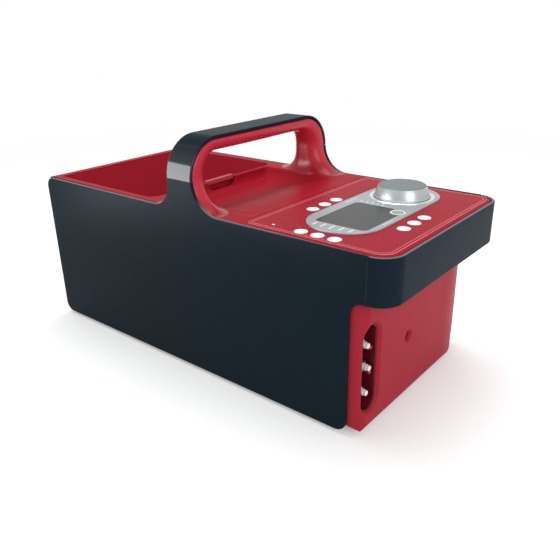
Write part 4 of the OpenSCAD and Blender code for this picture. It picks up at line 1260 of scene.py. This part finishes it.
@dataclass
class Decks:
    """Handle deck with its saddle and scoop, control deck and the printed film.

    Attributes:
        lid: the lid's opening as rear edge, front edge, half width and corner radius.
        gap: gap round the lid.
        lean: room behind the lid, for it to lean back.
        saddle_x0: rear edge of the saddle.
        foot_r: radius at the foot of its rear wall.
        end_r: radius at the saddle's ends.
        end_soft: height over which the ends' rims are rounded.
        end_fade: depth of the floor below which that rounding fades out.
        rim: rounding of the saddle's rear rim.
        scoop: near and far end of the finger scoop along Y.
        scoop_depth: its depth.
        scoop_r: rounding at its ends.
        scoop_lip: depth that its ends keep.
        lid_rim: rounding of the edge beside the lid.
        patch_y: half width of the surface that holds saddle and scoop.
        patch_x: front end of that surface.
        edge: rounding of the decks' outer edges.
    """

    lid: tuple[float, float, float, float] = (-194.0, -52.0, 85.0, 9.0)
    gap: float = 0.4
    lean: float = 1.1
    saddle_x0: float = -47.0
    foot_r: float = 9.0
    end_r: float = 26.0
    end_soft: float = 2.4
    end_fade: float = 4.0
    rim: float = 1.7
    scoop: tuple[float, float] = (-18.0, 22.0)
    scoop_depth: float = 9.0
    scoop_r: float = 6.0
    scoop_lip: float = 1.5
    lid_rim: float = 1.2
    patch_y: float = 76.0
    patch_x: float = 60.0
    edge: float = 1.5

    def along(self) -> list[Point]:
        """Side view of the saddle: places along X with their heights over the deck."""
        x0, r, d = self.saddle_x0, self.foot_r, BODY.saddle_h
        start, end = BODY.saddle_xd, BODY.saddle_x1
        found: list[Point] = [(x0 - self.rim, 0.0)]
        for i in range(1, 9):
            a = math.pi / 2 * i / 8
            found.append((x0 - self.rim + self.rim * math.sin(a), -self.rim * (1 - math.cos(a))))
        for i in range(17):
            a = math.pi / 2 * i / 16
            found.append((x0 + r - r * math.cos(a), r - d - r * math.sin(a)))
        found += [(start - 5, -d), (start, -d)]
        for i in range(1, 31):
            x = start + (end - start) * i / 30
            found.append((x, saddle_floor(x)))
        return found + [(self.patch_x, 0.0)]

    def _hollow(self, x: float, floor: float, y: float) -> float:
        """Height of the saddle at a place, whose ends run up into the handle's legs.

        Args:
            x, y: the place.
            floor: height of the saddle's middle there.

        Returns:
            The height over the deck.
        """
        top = BODY.foot_centre
        r = top - (floor if x > BODY.saddle_xd else -BODY.saddle_h)
        out = abs(y) - (BODY.gap_y - r)
        side = top - math.sqrt(max(r**2 - min(max(out, 0.0), r) ** 2, 0.0))
        soft = self.end_soft * min(1.0, -floor / self.end_fade)
        near = max(soft - abs(side), 0.0)
        side = min(side, 0.0) - (near**2 / (4 * soft) if soft > 0.01 else 0.0)
        return max(floor, side)

    def _scoop(self, y: float) -> float:
        """Height of the finger scoop's floor at a place along Y, 0 outside it."""
        near, far = self.scoop
        inside = min(y - near, far - y)
        if inside <= 0:
            return 0.0
        if inside >= self.scoop_r:
            return -self.scoop_depth
        rise = 1 - math.sqrt(1 - (1 - inside / self.scoop_r) ** 2)
        return -self.scoop_depth + (self.scoop_depth - self.scoop_lip) * rise

    def _patch(self, sculpt: Sculpt) -> None:
        """Adds the surface that holds saddle and scoop."""
        b = BODY
        start = self.lid[1] + self.gap
        soft = self.lid_rim
        lead: list[Point] = [(start, 0.0)]
        lead += [(start + soft * (1 - math.cos(math.pi / 2 * i / 5)), 0.0) for i in range(1, 6)]
        span = b.gap_y - self.end_r
        marks = {-span + 2 * span * i / 52 for i in range(53)}
        for end in self.scoop:
            marks |= {end + k * 0.6 for k in range(-12, 13)}
        sides = [span + (self.patch_y - span) * i / 34 for i in range(1, 35)]
        ys = [-y for y in reversed(sides)] + sorted(marks) + sides
        xs = lead + self.along()
        rows = []
        for x, zx in xs:
            row = []
            for y in ys:
                z = self._hollow(x, zx, y)
                if x < self.saddle_x0 + self.foot_r / 2:
                    z = min(z, self._scoop(y))
                if x < start + soft:
                    fall = soft - math.sqrt(max(soft**2 - (start + soft - x) ** 2, 0.0))
                    fade = min(max((self.patch_y - 1 - abs(y)) / 4, 0.0), 1.0)
                    z = min(z, -fall * fade)
                row.append(Vector((x, y, b.deck_z + z)))
            rows.append(row)
        wall = [Vector((p.x, p.y, b.plate_z - 12 if self._scoop(p.y) else b.plate_z)) for p in rows[0]]
        sculpt.strip([wall] + rows, closed=False)
        near, far = self.scoop
        deep, back = b.deck_z - self.scoop_depth, self.lid[1] - 1.5
        box = (0.3, 0.3, 0.3, 0.3)
        wall_plan = Outline.box(back - 1.5, near - 1, back, far + 1, box)
        floor_plan = Outline.box(back - 1, near - 1, start + 0.05, far + 1, box)
        sculpt.plate(wall_plan, deep - 1, b.plate_z - 0.15, Edge(0.2, 0))
        sculpt.plate(floor_plan, deep - 1, deep, Edge(0, 0))

    def build_handle_deck(self) -> None:
        """Builds the deck under the handle."""
        b = BODY
        x0, x1, y, r = self.lid
        x0, x1, y, r = x0 - self.gap - self.lean, x1 + self.gap, y + self.gap, r + self.gap
        hole = Outline([(x0, -y)]).arc(x1 - r, -y + r, r, 270, 360)
        hole.to(x1, -self.patch_y).to(self.patch_x, -self.patch_y).to(self.patch_x, self.patch_y)
        hole.to(x1, self.patch_y).arc(x1 - r, y - r, r, 0, 90).to(x0, y)

        def soft(px: float, py: float) -> float:
            """Rounding is left out where the saddle's surface carries on, and slight at the seam."""
            if px > b.seam_x - 1:
                return 0.15
            return 0.0 if px > x1 - 0.01 and abs(py) < self.patch_y + 0.6 else 1.0

        outer = Outline.box(b.x_wall, -b.y_in + 0.2, b.seam_x - 0.1, b.y_in - 0.2, (0.6, 0.3, 0.3, 0.6))
        sculpt = Sculpt("handle_deck")
        sculpt.plate(
            outer, b.plate_z, b.deck_z, Edge(self.edge, 0), holes=[hole],
            hole_edge=Edge(self.lid_rim, 0), soft=soft,
        )
        self._patch(sculpt)
        sculpt.finish(PALETTE.deck_red, "deck_red", ["top_deck"], weld=0.003)

    def build_control_deck(self, holes: Sequence[Outline]) -> None:
        """Builds the control deck and its film.

        Args:
            holes: outlines of everything that passes through both.
        """
        b = BODY
        inset = b.shell_t + 0.3
        r = b.band_r - inset
        plan = Outline.box(b.seam_x + 0.05, inset - b.y_side, b.x_band - inset, b.y_side - inset, (0.3, r, r, 0.3))
        sculpt = Sculpt("control_deck_plate")
        sculpt.plate(plan, b.plate_z, b.deck_z, Edge(self.edge, 0.2), holes=holes, hole_edge=Edge(0, 0, flat=0.2),
                     soft=lambda px, py: 0.2 if px < b.seam_x + 1 else 1.0)
        sculpt.finish(PALETTE.deck_red, "deck_red", ["control_deck"])
        margin = 4.3
        inset += margin - 0.3
        r = b.band_r - inset
        film = (b.seam_x + margin, inset - b.y_side, b.x_band - inset, b.y_side - inset)
        sculpt = Sculpt("panel_film_print")
        sculpt.plate(
            Outline.box(*film, (4.3, r, r, 4.3)), b.deck_z, b.film_z, Edge(0.2, 0), holes=holes,
            hole_edge=Edge(0.15, 0, flat=0.2),
        )
        sculpt.finish(PALETTE.film_red, "film_red", ["panel_film"])
        for name, grow in (("film_cut_edge", 0.25), ("film_print_line", -2.4)):
            ring = (film[0] - grow, film[1] - grow, film[2] + grow, film[3] + grow)
            thin = (ring[0] + 0.42, ring[1] + 0.42, ring[2] - 0.42, ring[3] - 0.42)
            outer = Outline.box(*ring, (4.3 + grow, r + grow, r + grow, 4.3 + grow))
            inner = Outline.box(*thin, (3.9 + grow, r + grow - 0.42, r + grow - 0.42, 3.9 + grow))
            low = b.deck_z if grow > 0 else b.film_z - 0.02
            sculpt = Sculpt(name)
            sculpt.plate(outer, low, b.film_z + 0.06, Edge(0.06, 0, flat=0.05), holes=[inner])
            sculpt.finish(PALETTE.film_edge, "film_red", [])


# ---------------------------------------------------------------- lid


@dataclass
class Lid:
    """Reservoir lid with its hinge barrel, skirt and pull.

    Attributes:
        box: rear edge, front edge, half width and corner radius.
        barrel_r: radius of the hinge barrel.
        skirt_h: depth of the skirt.
        skirt: the skirt's outer half sizes as x0, x1, y.
        pull: near end, far end and width of the pull.
        proud: how far the pull stands over the lid.
    """

    box: tuple[float, float, float, float] = (-194.0, -52.0, 85.0, 9.0)
    barrel_r: float = 4.0
    skirt_h: float = 8.0
    skirt: tuple[float, float, float] = (-178.0, -62.0, 75.0)
    pull: tuple[float, float, float] = (-18.0, 22.0, 4.6)
    proud: float = 1.3

    def build(self) -> None:
        """Builds the lid."""
        b = BODY
        x0, x1, y, r = self.box
        hinge = x0 + self.barrel_r
        sculpt = Sculpt("reservoir_lid")
        sculpt.plate(
            Outline.box(hinge, -y, x1, y, (0.4, r, r, 0.4)), b.plate_z, b.deck_z, Edge(1.2, 0.3),
            soft=lambda px, py: 0.0 if px < hinge + 1 else 1.0,
        )
        axis = b.deck_z - self.barrel_r
        ends = [(1.6, 0.0, 0), (self.barrel_r, 0.0, 0.5), (self.barrel_r, 2 * y, 0.5), (1.6, 2 * y, 0)]
        sculpt.turned(rounded(ends), Vector((hinge, -y, axis)), Vector((0, 1, 0)), 48)
        sx0, sx1, sy = self.skirt
        wall = 2.5
        sculpt.plate(
            Outline.box(sx0, -sy, sx1, sy, (8, 8, 8, 8)), b.plate_z - self.skirt_h, b.plate_z + 0.2, Edge(0, 0.6),
            holes=[Outline.box(sx0 + wall, -sy + wall, sx1 - wall, sy - wall, (5.5, 5.5, 5.5, 5.5))],
        )
        sculpt.finish(PALETTE.lid_red, "lid_red", ["lid"], body="lid")
        near, far, wide = self.pull
        px0 = x1 - 1.2
        sculpt = Sculpt("lid_pull_bar")
        sculpt.plate(
            Outline.box(px0, near, px0 + wide, far, (1.6, 2.2, 2.2, 1.6)), b.deck_z - 3.2, b.deck_z + self.proud,
            Edge(1.0, 1.0),
        )
        sculpt.finish(PALETTE.pull_red, "lid_red", [], body="lid")


# ---------------------------------------------------------------- controls


@dataclass
class ControlPanel:
    """Bezel with its window and print, buttons, knob, ring and light.

    Attributes:
        bezel: centre along X, width, and the centres of its round ends along Y.
        window: low and high corner of the window.
        window_r: its corner radius.
        knob: axis of the knob.
        select: centre of the select button.
        light: centre of the status light.
        near_row, rear_row, front_row: middle button of each row, and the row's pitch.
        button_r, select_r, light_r: their radii.
        fit: gap round a button.
    """

    bezel: tuple[float, float, float, float] = (133.5, 66.0, -42.0, 50.0)
    window: tuple[float, float, float, float] = (112.0, -58.0, 160.5, 7.0)
    window_r: float = 5.0
    knob: Point = (135.0, 45.5)
    select: Point = (156.5, -1.0)
    light: Point = (90.4, -82.4)
    near_row: tuple[float, float, float] = (134.0, -83.4, 15.6)
    rear_row: tuple[float, float, float] = (91.2, -12.3, 17.7)
    front_row: tuple[float, float, float] = (178.5, -14.0, 17.2)
    button_r: float = 5.5
    select_r: float = 4.4
    light_r: float = 1.5
    fit: float = 0.15

    def rows(self) -> dict[str, Point]:
        """Centres of the panel buttons, by the name of their node."""
        found: dict[str, Point] = {}
        rows = {"near": self.near_row, "rear": self.rear_row, "front": self.front_row}
        for i in (-1, 0, 1):
            for name, (x, y, pitch) in rows.items():
                step = pitch * i
                found[f"button_{name}_{i + 2}"] = (x + step, y) if name == "near" else (x, y + step)
        return found

    def window_outline(self, grow: float) -> Outline:
        """The window's outline, with its corner given up to the select button."""
        x0, y0, x1, y1 = self.window
        x0, y0, x1, y1 = x0 - grow, y0 - grow, x1 + grow, y1 + grow
        cx, cy = self.select
        r = self.select_r + 2.3 - grow
        start = math.degrees(math.atan2(-math.sqrt(r**2 - (x1 - cx) ** 2), x1 - cx))
        corner = self.window_r + grow
        out = Outline().arc(x0 + corner, y0 + corner, corner, 180, 270)
        out.arc(x1 - corner, y0 + corner, corner, 270, 360)
        out.arc(cx, cy, r, start, -180, 24).arc(cx - r - 1.2, y1 - 1.2, 1.2, 0, 90, 5)
        return out.arc(x0 + corner, y1 - corner, corner, 90, 180)

    def deck_holes(self) -> list[Outline]:
        """Outlines of what passes through deck and film."""
        found = [Outline.circle(x, y, self.button_r + self.fit, 64) for x, y in self.rows().values()]
        found.append(Outline.circle(*self.light, self.light_r + 0.05, 24))
        found.append(self.window_outline(-1.5))
        found.append(Outline.circle(*self.select, self.select_r + self.fit, 32))
        return found + [Outline.circle(*self.knob, 4.15, 32)]

    def build_bezel(self) -> None:
        """Builds bezel, window, pale print and the ring round the select button."""
        b = BODY
        x, width, y0, y1 = self.bezel
        holes = [self.window_outline(0.05), Outline.circle(*self.select, self.select_r + self.fit, 48)]
        holes.append(Outline.circle(*self.knob, 4.15, 32))
        sculpt = Sculpt("display_bezel_plate")
        sculpt.plate(
            Outline.stadium(x, width, y0, y1), b.film_z, b.bezel_z, Edge(0.9, 0), holes=holes,
            hole_edge=Edge(0.25, 0, flat=0.15),
        )
        sculpt.finish(PALETTE.bezel_silver, "bezel_silver", ["display_bezel"])
        sculpt = Sculpt("display_window_pane")
        sculpt.plate(self.window_outline(0), b.film_z, b.bezel_z - 0.3, Edge(0.25, 0))
        sculpt.finish(PALETTE.window_glass, "window_glass", ["display_window"])
        sculpt = Sculpt("bezel_print")
        for bar in self.ticks():
            sculpt.plate(bar, b.bezel_z - 0.1, b.bezel_z + 0.1, Edge(0.08, 0, flat=0.05))
        sculpt.plate(
            Outline.circle(*self.select, self.select_r + 2.1), b.bezel_z - 0.1, b.bezel_z + 0.22,
            Edge(0.2, 0, flat=0.1), holes=[Outline.circle(*self.select, self.select_r + 0.7)],
        )
        sculpt.finish(PALETTE.tick_pale, "bezel_silver", [])

    def ticks(self) -> list[Outline]:
        """Plain pale bars round the window."""
        bars: list[Outline] = []

        def bar(cx: float, cy: float, wide: float, long: float) -> None:
            """Adds one bar."""
            r = min(wide, long) * 0.3
            bars.append(Outline.box(cx - wide / 2, cy - long / 2, cx + wide / 2, cy + long / 2, (r, r, r, r)))

        for i in range(5):
            reach = 9.0 - 0.35 * abs(i - 2) ** 2
            bar(117.5 + 8.4 * i, -60.0 - reach / 2, 1.5, reach)
        for i in range(4):
            bar(105.8, 1.5 + 4.0 * i, 4.2 - 0.5 * i, 1.1)
        for i in range(5):
            bar(114.5 + 5.4 * i, 11.2 - 0.22 * (i - 2) ** 2, 1.2, 4.4)
        for i in range(4):
            bar(163.6, -36.0 + 4.0 * i, 2.6, 1.1)
        return bars

    def cap(self, sculpt: Sculpt, at: Point, radius: float, top: float) -> None:
        """Adds a button cap with a flange, a soft rim and a shallow dish."""
        low = BODY.plate_z - 1.05
        shape = [
            (0.0, low, 0), (radius + 1.2, low, 0.1), (radius + 1.2, low + 1, 0.1), (radius, low + 1, 0),
            (radius, top - 0.15, 0.35), (radius - 0.5, top, 0.3), (radius * 0.62, top - 0.02, 0.3),
            (radius * 0.5, top - 0.14, 0.3), (0.0, top - 0.16, 0),
        ]
        sculpt.turned(rounded(shape), Vector((*at, 0)), Vector((0, 0, 1)), 64)

    def build_buttons(self) -> None:
        """Builds the panel buttons, the select button and the status light's lens."""
        b = BODY
        for name, at in self.rows().items():
            sculpt = Sculpt(f"{name}_cap")
            self.cap(sculpt, at, self.button_r, b.film_z + 0.25)
            sculpt.finish(PALETTE.button_white, "button_white", [name], body=name)
        sculpt = Sculpt("select_button_cap")
        self.cap(sculpt, self.select, self.select_r, b.bezel_z + 0.35)
        sculpt.finish(PALETTE.button_grey, "button_grey", ["select_button"], body="select_button")
        r = self.light_r
        lens = [(0.0, 150.1, 0), (r, 150.1, 0), (r, b.film_z - 0.2, 0.3), (r * 0.6, b.film_z + 0.18, 0.4),
                (0.0, b.film_z + 0.2, 0)]
        sculpt = Sculpt("status_led_lens")
        sculpt.turned(rounded(lens), Vector((*self.light, 0)), Vector((0, 0, 1)), 32)
        sculpt.finish(PALETTE.led_white, "led_white", ["status_led"])

    def build_knob(self) -> None:
        """Builds the knob and the bright ring at its foot."""
        b = BODY
        foot = b.bezel_z + 0.3
        wall = [
            (3.0, foot + 0.1, 0), (5.0, foot + 0.1, 0.2), (5.0, foot + 8.6, 0.4), (22.6, foot + 0.6, 0.3),
            (22.9, foot, 0.1), (25.0, foot, 0.12), (25.0, foot + 0.9, 0.35), (24.35, foot + 1.5, 0.5),
            (23.7, foot + 4.2, 2.0), (22.3, foot + 7.8, 2.4), (20.9, foot + 10.5, 1.5), (19.3, foot + 10.8, 0.6),
            (18.9, foot + 10.55, 0.35), (3.0, foot + 10.45, 0), (0.0, foot + 10.45, 0),
        ]
        sculpt = Sculpt("knob_turned")
        sculpt.turned(rounded(wall, 6), Vector((*self.knob, 0)), Vector((0, 0, 1)), 160)
        sculpt.finish(PALETTE.knob_silver, "knob_silver", ["knob"], body="knob")
        z = b.bezel_z
        ring = [
            (25.6, z - 0.05, 0), (25.6, z + 0.45, 0.2), (26.6, z + 0.7, 0.3), (27.4, z + 0.62, 0.3),
            (27.9, z + 0.3, 0.2), (28.4, z + 0.5, 0.2), (29.0, z + 0.3, 0.25), (29.0, z - 0.05, 0),
        ]
        sculpt = Sculpt("knob_trim_ring")
        sculpt.turned(rounded(ring), Vector((*self.knob, 0)), Vector((0, 0, 1)), 160)
        sculpt.finish(PALETTE.trim_silver, "trim_silver", ["knob_ring"])

    def build(self) -> None:
        """Builds the whole panel."""
        self.build_bezel()
        self.build_buttons()
        self.build_knob()


# ---------------------------------------------------------------- hose socket


@dataclass
class HoseSocket:
    """Nozzles with their sprung valves, and the guide pins.

    Attributes:
        names: the three nozzles, from the top.
        ys, zs: their places.
        x_back: where their tails end.
        x_cup: the cup's floor.
        x_front: where the barrels end.
        x_tip: where the valves end.
        bore: depth of the valve's bore.
        nozzle_r, groove_r, valve_r: radii of barrel, groove and valve.
        grooves: places of the O-ring grooves behind the barrel's front.
        guide_y, guide_zs, guide_r: places and radius of the guide pins.
    """

    names: tuple[str, str, str] = ("supply", "air", "return")
    ys: tuple[float, float, float] = (-82.0, -79.0, -82.0)
    zs: tuple[float, float, float] = (78.1, 56.9, 35.7)
    x_back: float = 141.0
    x_cup: float = 157.0
    x_front: float = 176.6
    x_tip: float = 182.0
    bore: float = 11.0
    nozzle_r: float = 4.0
    groove_r: float = 3.35
    valve_r: float = 2.7
    grooves: tuple[float, float] = (1.7, 4.3)
    guide_y: float = -74.9
    guide_zs: tuple[float, float] = (73.0, 50.9)
    guide_r: float = 1.9

    def barrel(self) -> list[tuple[float, float, float]]:
        """Profile of a nozzle barrel, from its tail to the mouth of its bore."""
        r, g = self.nozzle_r, self.groove_r
        shape = [(1.8, self.x_back, 0), (r, self.x_back, 0.2), (r, self.x_cup + 1.9, 0),
                 (r + 0.8, self.x_cup + 1.9, 0.2), (r + 0.8, self.x_cup + 3.5, 0.2), (r, self.x_cup + 3.5, 0.1)]
        for place in reversed(self.grooves):
            low, high = self.x_front - place - 0.65, self.x_front - place + 0.65
            shape += [(r, low, 0.1), (g, low, 0.1), (g, high, 0.1), (r, high, 0.1)]
        shape += [(r, self.x_front, 0.45), (self.valve_r + 0.05, self.x_front, 0.3)]
        floor = self.x_front - self.bore
        return shape + [(self.valve_r + 0.05, floor, 0), (1.8, floor, 0), (1.8, self.x_back, 0)]

    def build(self) -> None:
        """Builds nozzles, valves and pins."""
        along = Vector((1, 0, 0))
        for name, y, z in zip(self.names, self.ys, self.zs):
            at = Vector((0, y, z))
            sculpt = Sculpt(f"{name}_nozzle_barrel")
            sculpt.turned(rounded(self.barrel(), 3), at, along, 64)
            finish = Turned(f"nozzle_steel_{name}", (0.56, 0.57, 0.58), axis=(0, y, z), pitch=0.5, roughness=0.24)
            sculpt.finish(finish, "steel", [f"{name}_nozzle"])
            start = self.x_front - self.bore + 2.8
            r = self.valve_r
            tip = [(0.0, start, 0), (r, start, 0.2), (r, self.x_tip - 2.6, 0.3), (r - 0.35, self.x_tip - 2.3, 0.2),
                   (r - 0.35, self.x_tip - 0.3, 0.7), (1.3, self.x_tip, 0.4), (1.1, self.x_tip - 0.7, 0.2),
                   (0.0, self.x_tip - 0.7, 0)]
            sculpt = Sculpt(f"{name}_valve_tip")
            sculpt.turned(rounded(tip), at, along, 48)
            sculpt.finish(PALETTE.valve_white, "valve_white", [f"{name}_valve"], body=f"{name}_valve")
        sculpt = Sculpt("guide_pin_pair")
        r, stop = self.guide_r, BODY.x_face - 4.5 - self.guide_r
        for z in self.guide_zs:
            ball = [(0.0, self.x_cup + 0.1), (r, self.x_cup + 0.1), (r * 0.98, stop - 2.2), (r * 0.8, stop - 1.3)]
            ball += [(r * math.cos(a), stop + r * math.sin(a)) for a in
                     (math.radians(-38 + 128 * i / 14) for i in range(15))]
            sculpt.turned(ball, Vector((0, self.guide_y, z)), along, 40)
        sculpt.finish(PALETTE.guide_red, "guide_red", ["guide_pins"])


# ---------------------------------------------------------------- pieces kept from the CAD


@dataclass
class Works:
    """Housing and everything inside, whose CAD shapes are right as they are.

    Attributes:
        slots: nodes by the name of their finish.
    """

    slots: dict[str, tuple[str, ...]] = field(default_factory=lambda: {
        "housing_red": ("lower_housing",),
        "socket_red": ("hose_socket",),
        "rubber_black": ("lid_seal", "nozzle_o_rings", "power_inlet", "feet"),
        "screw_steel": ("lid_hinge_pins", "board_screws", "base_screws"),
        "steel": ("encoder_shaft",),
        "tub_natural": ("reservoir_tub",),
        "filter_white": ("reservoir_filter",),
        "display_grey": ("display_module",),
        "part_grey": ("encoder_body", "key_switches"),
        "board_green": ("control_board", "main_board"),
        "tray_grey": ("chassis_tray",),
        "pump_black": ("water_pump",),
        "pump_metal": ("air_pump",),
        "block_natural": ("valve_block",),
        "hose_clear": ("suction_hose", "supply_hose", "return_hose", "air_hose"),
    })

    def build(self, frame: dict) -> None:
        """Dresses the nodes.
        """
        for slot, nodes in self.slots.items():
            dress(frame, nodes, slot)


# ---------------------------------------------------------------- studio


@dataclass(frozen=True)
class Softbox:
    """One large soft lamp.

    Attributes:
        name: its name.
        place: where it hangs, in metres.
        aim: the point that it faces, in metres.
        size: its width and height, in metres.
        power: its power, in watts.
        tint: its colour.
        gloss_only: whether only reflections show it, as a card beside the set does.
    """

    name: str
    place: tuple[float, float, float]
    aim: tuple[float, float, float]
    size: tuple[float, float]
    power: float
    tint: Color = (1.0, 1.0, 1.0)
    gloss_only: bool = False

    def build(self) -> None:
        """Hangs the lamp."""
        data = bpy.data.lights.new(self.name, "AREA")
        data.shape = "RECTANGLE"
        data.size, data.size_y = self.size
        data.energy = self.power
        data.color = self.tint
        lamp = bpy.data.objects.new(self.name, data)
        lamp.location = self.place
        lamp.rotation_euler = (Vector(self.aim) - lamp.location).to_track_quat("-Z", "Y").to_euler()
        lamp.visible_camera = False
        lamp.visible_diffuse = not self.gloss_only
        bpy.context.scene.collection.objects.link(lamp)


@dataclass
class Studio:
    """Pale floor, soft lamps, white surroundings and the camera of the photograph.

    Attributes:
        eye: the camera's place, in millimetres.
        azimuth, elevation, roll: its direction, in degrees.
        focal: its focal length in pixels of a 560-pixel picture.
        lamps: the softboxes.
        ambient: light of the surroundings on the object.
    """

    eye: tuple[float, float, float] = (389.1, -442.5, 310.9)
    azimuth: float = 39.13
    elevation: float = 23.29
    roll: float = -0.96
    focal: float = 616.5
    lamps: tuple[Softbox, ...] = (
        Softbox("overhead", (-0.25, 0.15, 1.35), (0.0, 0.0, 0.1), (1.2, 1.0), 12.0),
        Softbox("front_fill", (1.4, -0.55, 0.7), (0.15, 0.0, 0.08), (0.9, 0.9), 10.0),
        Softbox("strap_card", (-0.22, -0.35, 0.19), (-0.01, -0.09, 0.2), (0.34, 0.25), 2.6, gloss_only=True),
        Softbox("high_card", (-0.62, -0.08, 1.0), (0.0, -0.05, 0.2), (0.16, 0.9), 0.5, gloss_only=True),
    )
    ambient: float = 0.5

    def build_floor(self) -> None:
        """Lays the floor, which shows white and keeps the object's shadow."""
        sculpt = bmesh.new()
        bmesh.ops.create_grid(sculpt, x_segments=8, y_segments=8, size=6.0)
        data = bpy.data.meshes.new("studio_floor")
        sculpt.to_mesh(data)
        sculpt.free()
        floor = bpy.data.objects.new("studio_floor", data)
        bpy.context.scene.collection.objects.link(floor)
        g = Graph("floor_white")
        g.feed("Base Color", g.mixed(g.noise(60, 3) * 0.03, (0.82, 0.82, 0.82), (0.86, 0.86, 0.86)))
        g.feed("Roughness", 0.9 + g.noise(40, 2) * 0.05)
        g.feed("Specular IOR Level", 0.0)
        rays = g.node("ShaderNodeLightPath")
        seen = Signal(g, rays.outputs["Is Camera Ray"]) + Signal(g, rays.outputs["Is Glossy Ray"])
        seen = (seen + Signal(g, rays.outputs["Is Transmission Ray"])) * 0.30
        glow = g.node("ShaderNodeEmission", None, {"Color": (1.0, 1.0, 1.0), "Strength": seen})
        both = g.node("ShaderNodeAddShader", None, {0: g.shader.outputs["BSDF"], 1: glow.outputs[0]})
        x, y, _ = g.offset((0.0, 0.0, 0.0))
        beyond = ((x * x + y * y) ** 0.5).between(700.0, 1400.0)
        white = g.node("ShaderNodeEmission", None, {"Color": (1.0, 1.0, 1.0), "Strength": 1.0})
        far = g.node("ShaderNodeMixShader", None, {0: beyond, 1: both.outputs[0], 2: white.outputs[0]})
        g.tree.links.new(far.outputs[0], g.output.inputs["Surface"])
        data.materials.append(g.data)

    def build_world(self) -> None:
        """Surrounds the object with white that lights it softly."""
        world = bpy.data.worlds.new("studio")
        world.use_nodes = True
        tree = world.node_tree
        tree.nodes.clear()
        rays = tree.nodes.new("ShaderNodeLightPath")
        first = tree.nodes.new("ShaderNodeMath")
        first.operation = "MAXIMUM"
        second = tree.nodes.new("ShaderNodeMath")
        second.operation = "MAXIMUM"
        tree.links.new(rays.outputs["Is Camera Ray"], first.inputs[0])
        tree.links.new(rays.outputs["Is Glossy Ray"], first.inputs[1])
        tree.links.new(first.outputs[0], second.inputs[0])
        tree.links.new(rays.outputs["Is Transmission Ray"], second.inputs[1])
        level = tree.nodes.new("ShaderNodeMapRange")
        level.inputs["To Min"].default_value = self.ambient
        level.inputs["To Max"].default_value = 1.0
        tree.links.new(second.outputs[0], level.inputs["Value"])
        back = tree.nodes.new("ShaderNodeBackground")
        back.inputs["Color"].default_value = (1.0, 1.0, 1.0, 1.0)
        tree.links.new(level.outputs["Result"], back.inputs["Strength"])
        out = tree.nodes.new("ShaderNodeOutputWorld")
        tree.links.new(back.outputs[0], out.inputs["Surface"])
        bpy.context.scene.world = world

    def build_camera(self) -> None:
        """Places the camera where the photograph was taken from."""
        a, e, roll = (math.radians(v) for v in (self.azimuth, self.elevation, self.roll))
        ahead = Vector((-math.sin(a) * math.cos(e), math.cos(a) * math.cos(e), -math.sin(e)))
        right = Vector((math.cos(a), math.sin(a), 0))
        up = right.cross(ahead)
        turned = right * math.cos(roll) + up * math.sin(roll)
        up = up * math.cos(roll) - right * math.sin(roll)
        data = bpy.data.cameras.new("camera")
        data.sensor_width = 36.0
        data.lens = self.focal / 560 * data.sensor_width
        data.clip_start = 0.01
        camera = bpy.data.objects.new("camera", data)
        axes = Matrix((turned, up, -ahead)).transposed()
        camera.matrix_world = Matrix.Translation(Vector(self.eye) * MM) @ axes.to_4x4()
        bpy.context.scene.collection.objects.link(camera)
        bpy.context.scene.camera = camera

    def build(self) -> None:
        """Sets up the whole studio."""
        self.build_floor()
        self.build_world()
        for lamp in self.lamps:
            lamp.build()
        self.build_camera()
        bpy.context.scene.view_settings.view_transform = "Standard"


# ---------------------------------------------------------------- assembly


def main() -> None:
    """Builds the machine in its studio."""
    logging.basicConfig(level=logging.INFO, format="%(name)s: %(message)s")
    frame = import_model()
    panel = ControlPanel()
    decks = Decks()
    Shell().build()
    Grip().build()
    decks.build_handle_deck()
    decks.build_control_deck(panel.deck_holes())
    Lid().build()
    panel.build()
    HoseSocket().build()
    Works().build(frame)
    Studio().build()


if __name__ == "__main__":
    main()
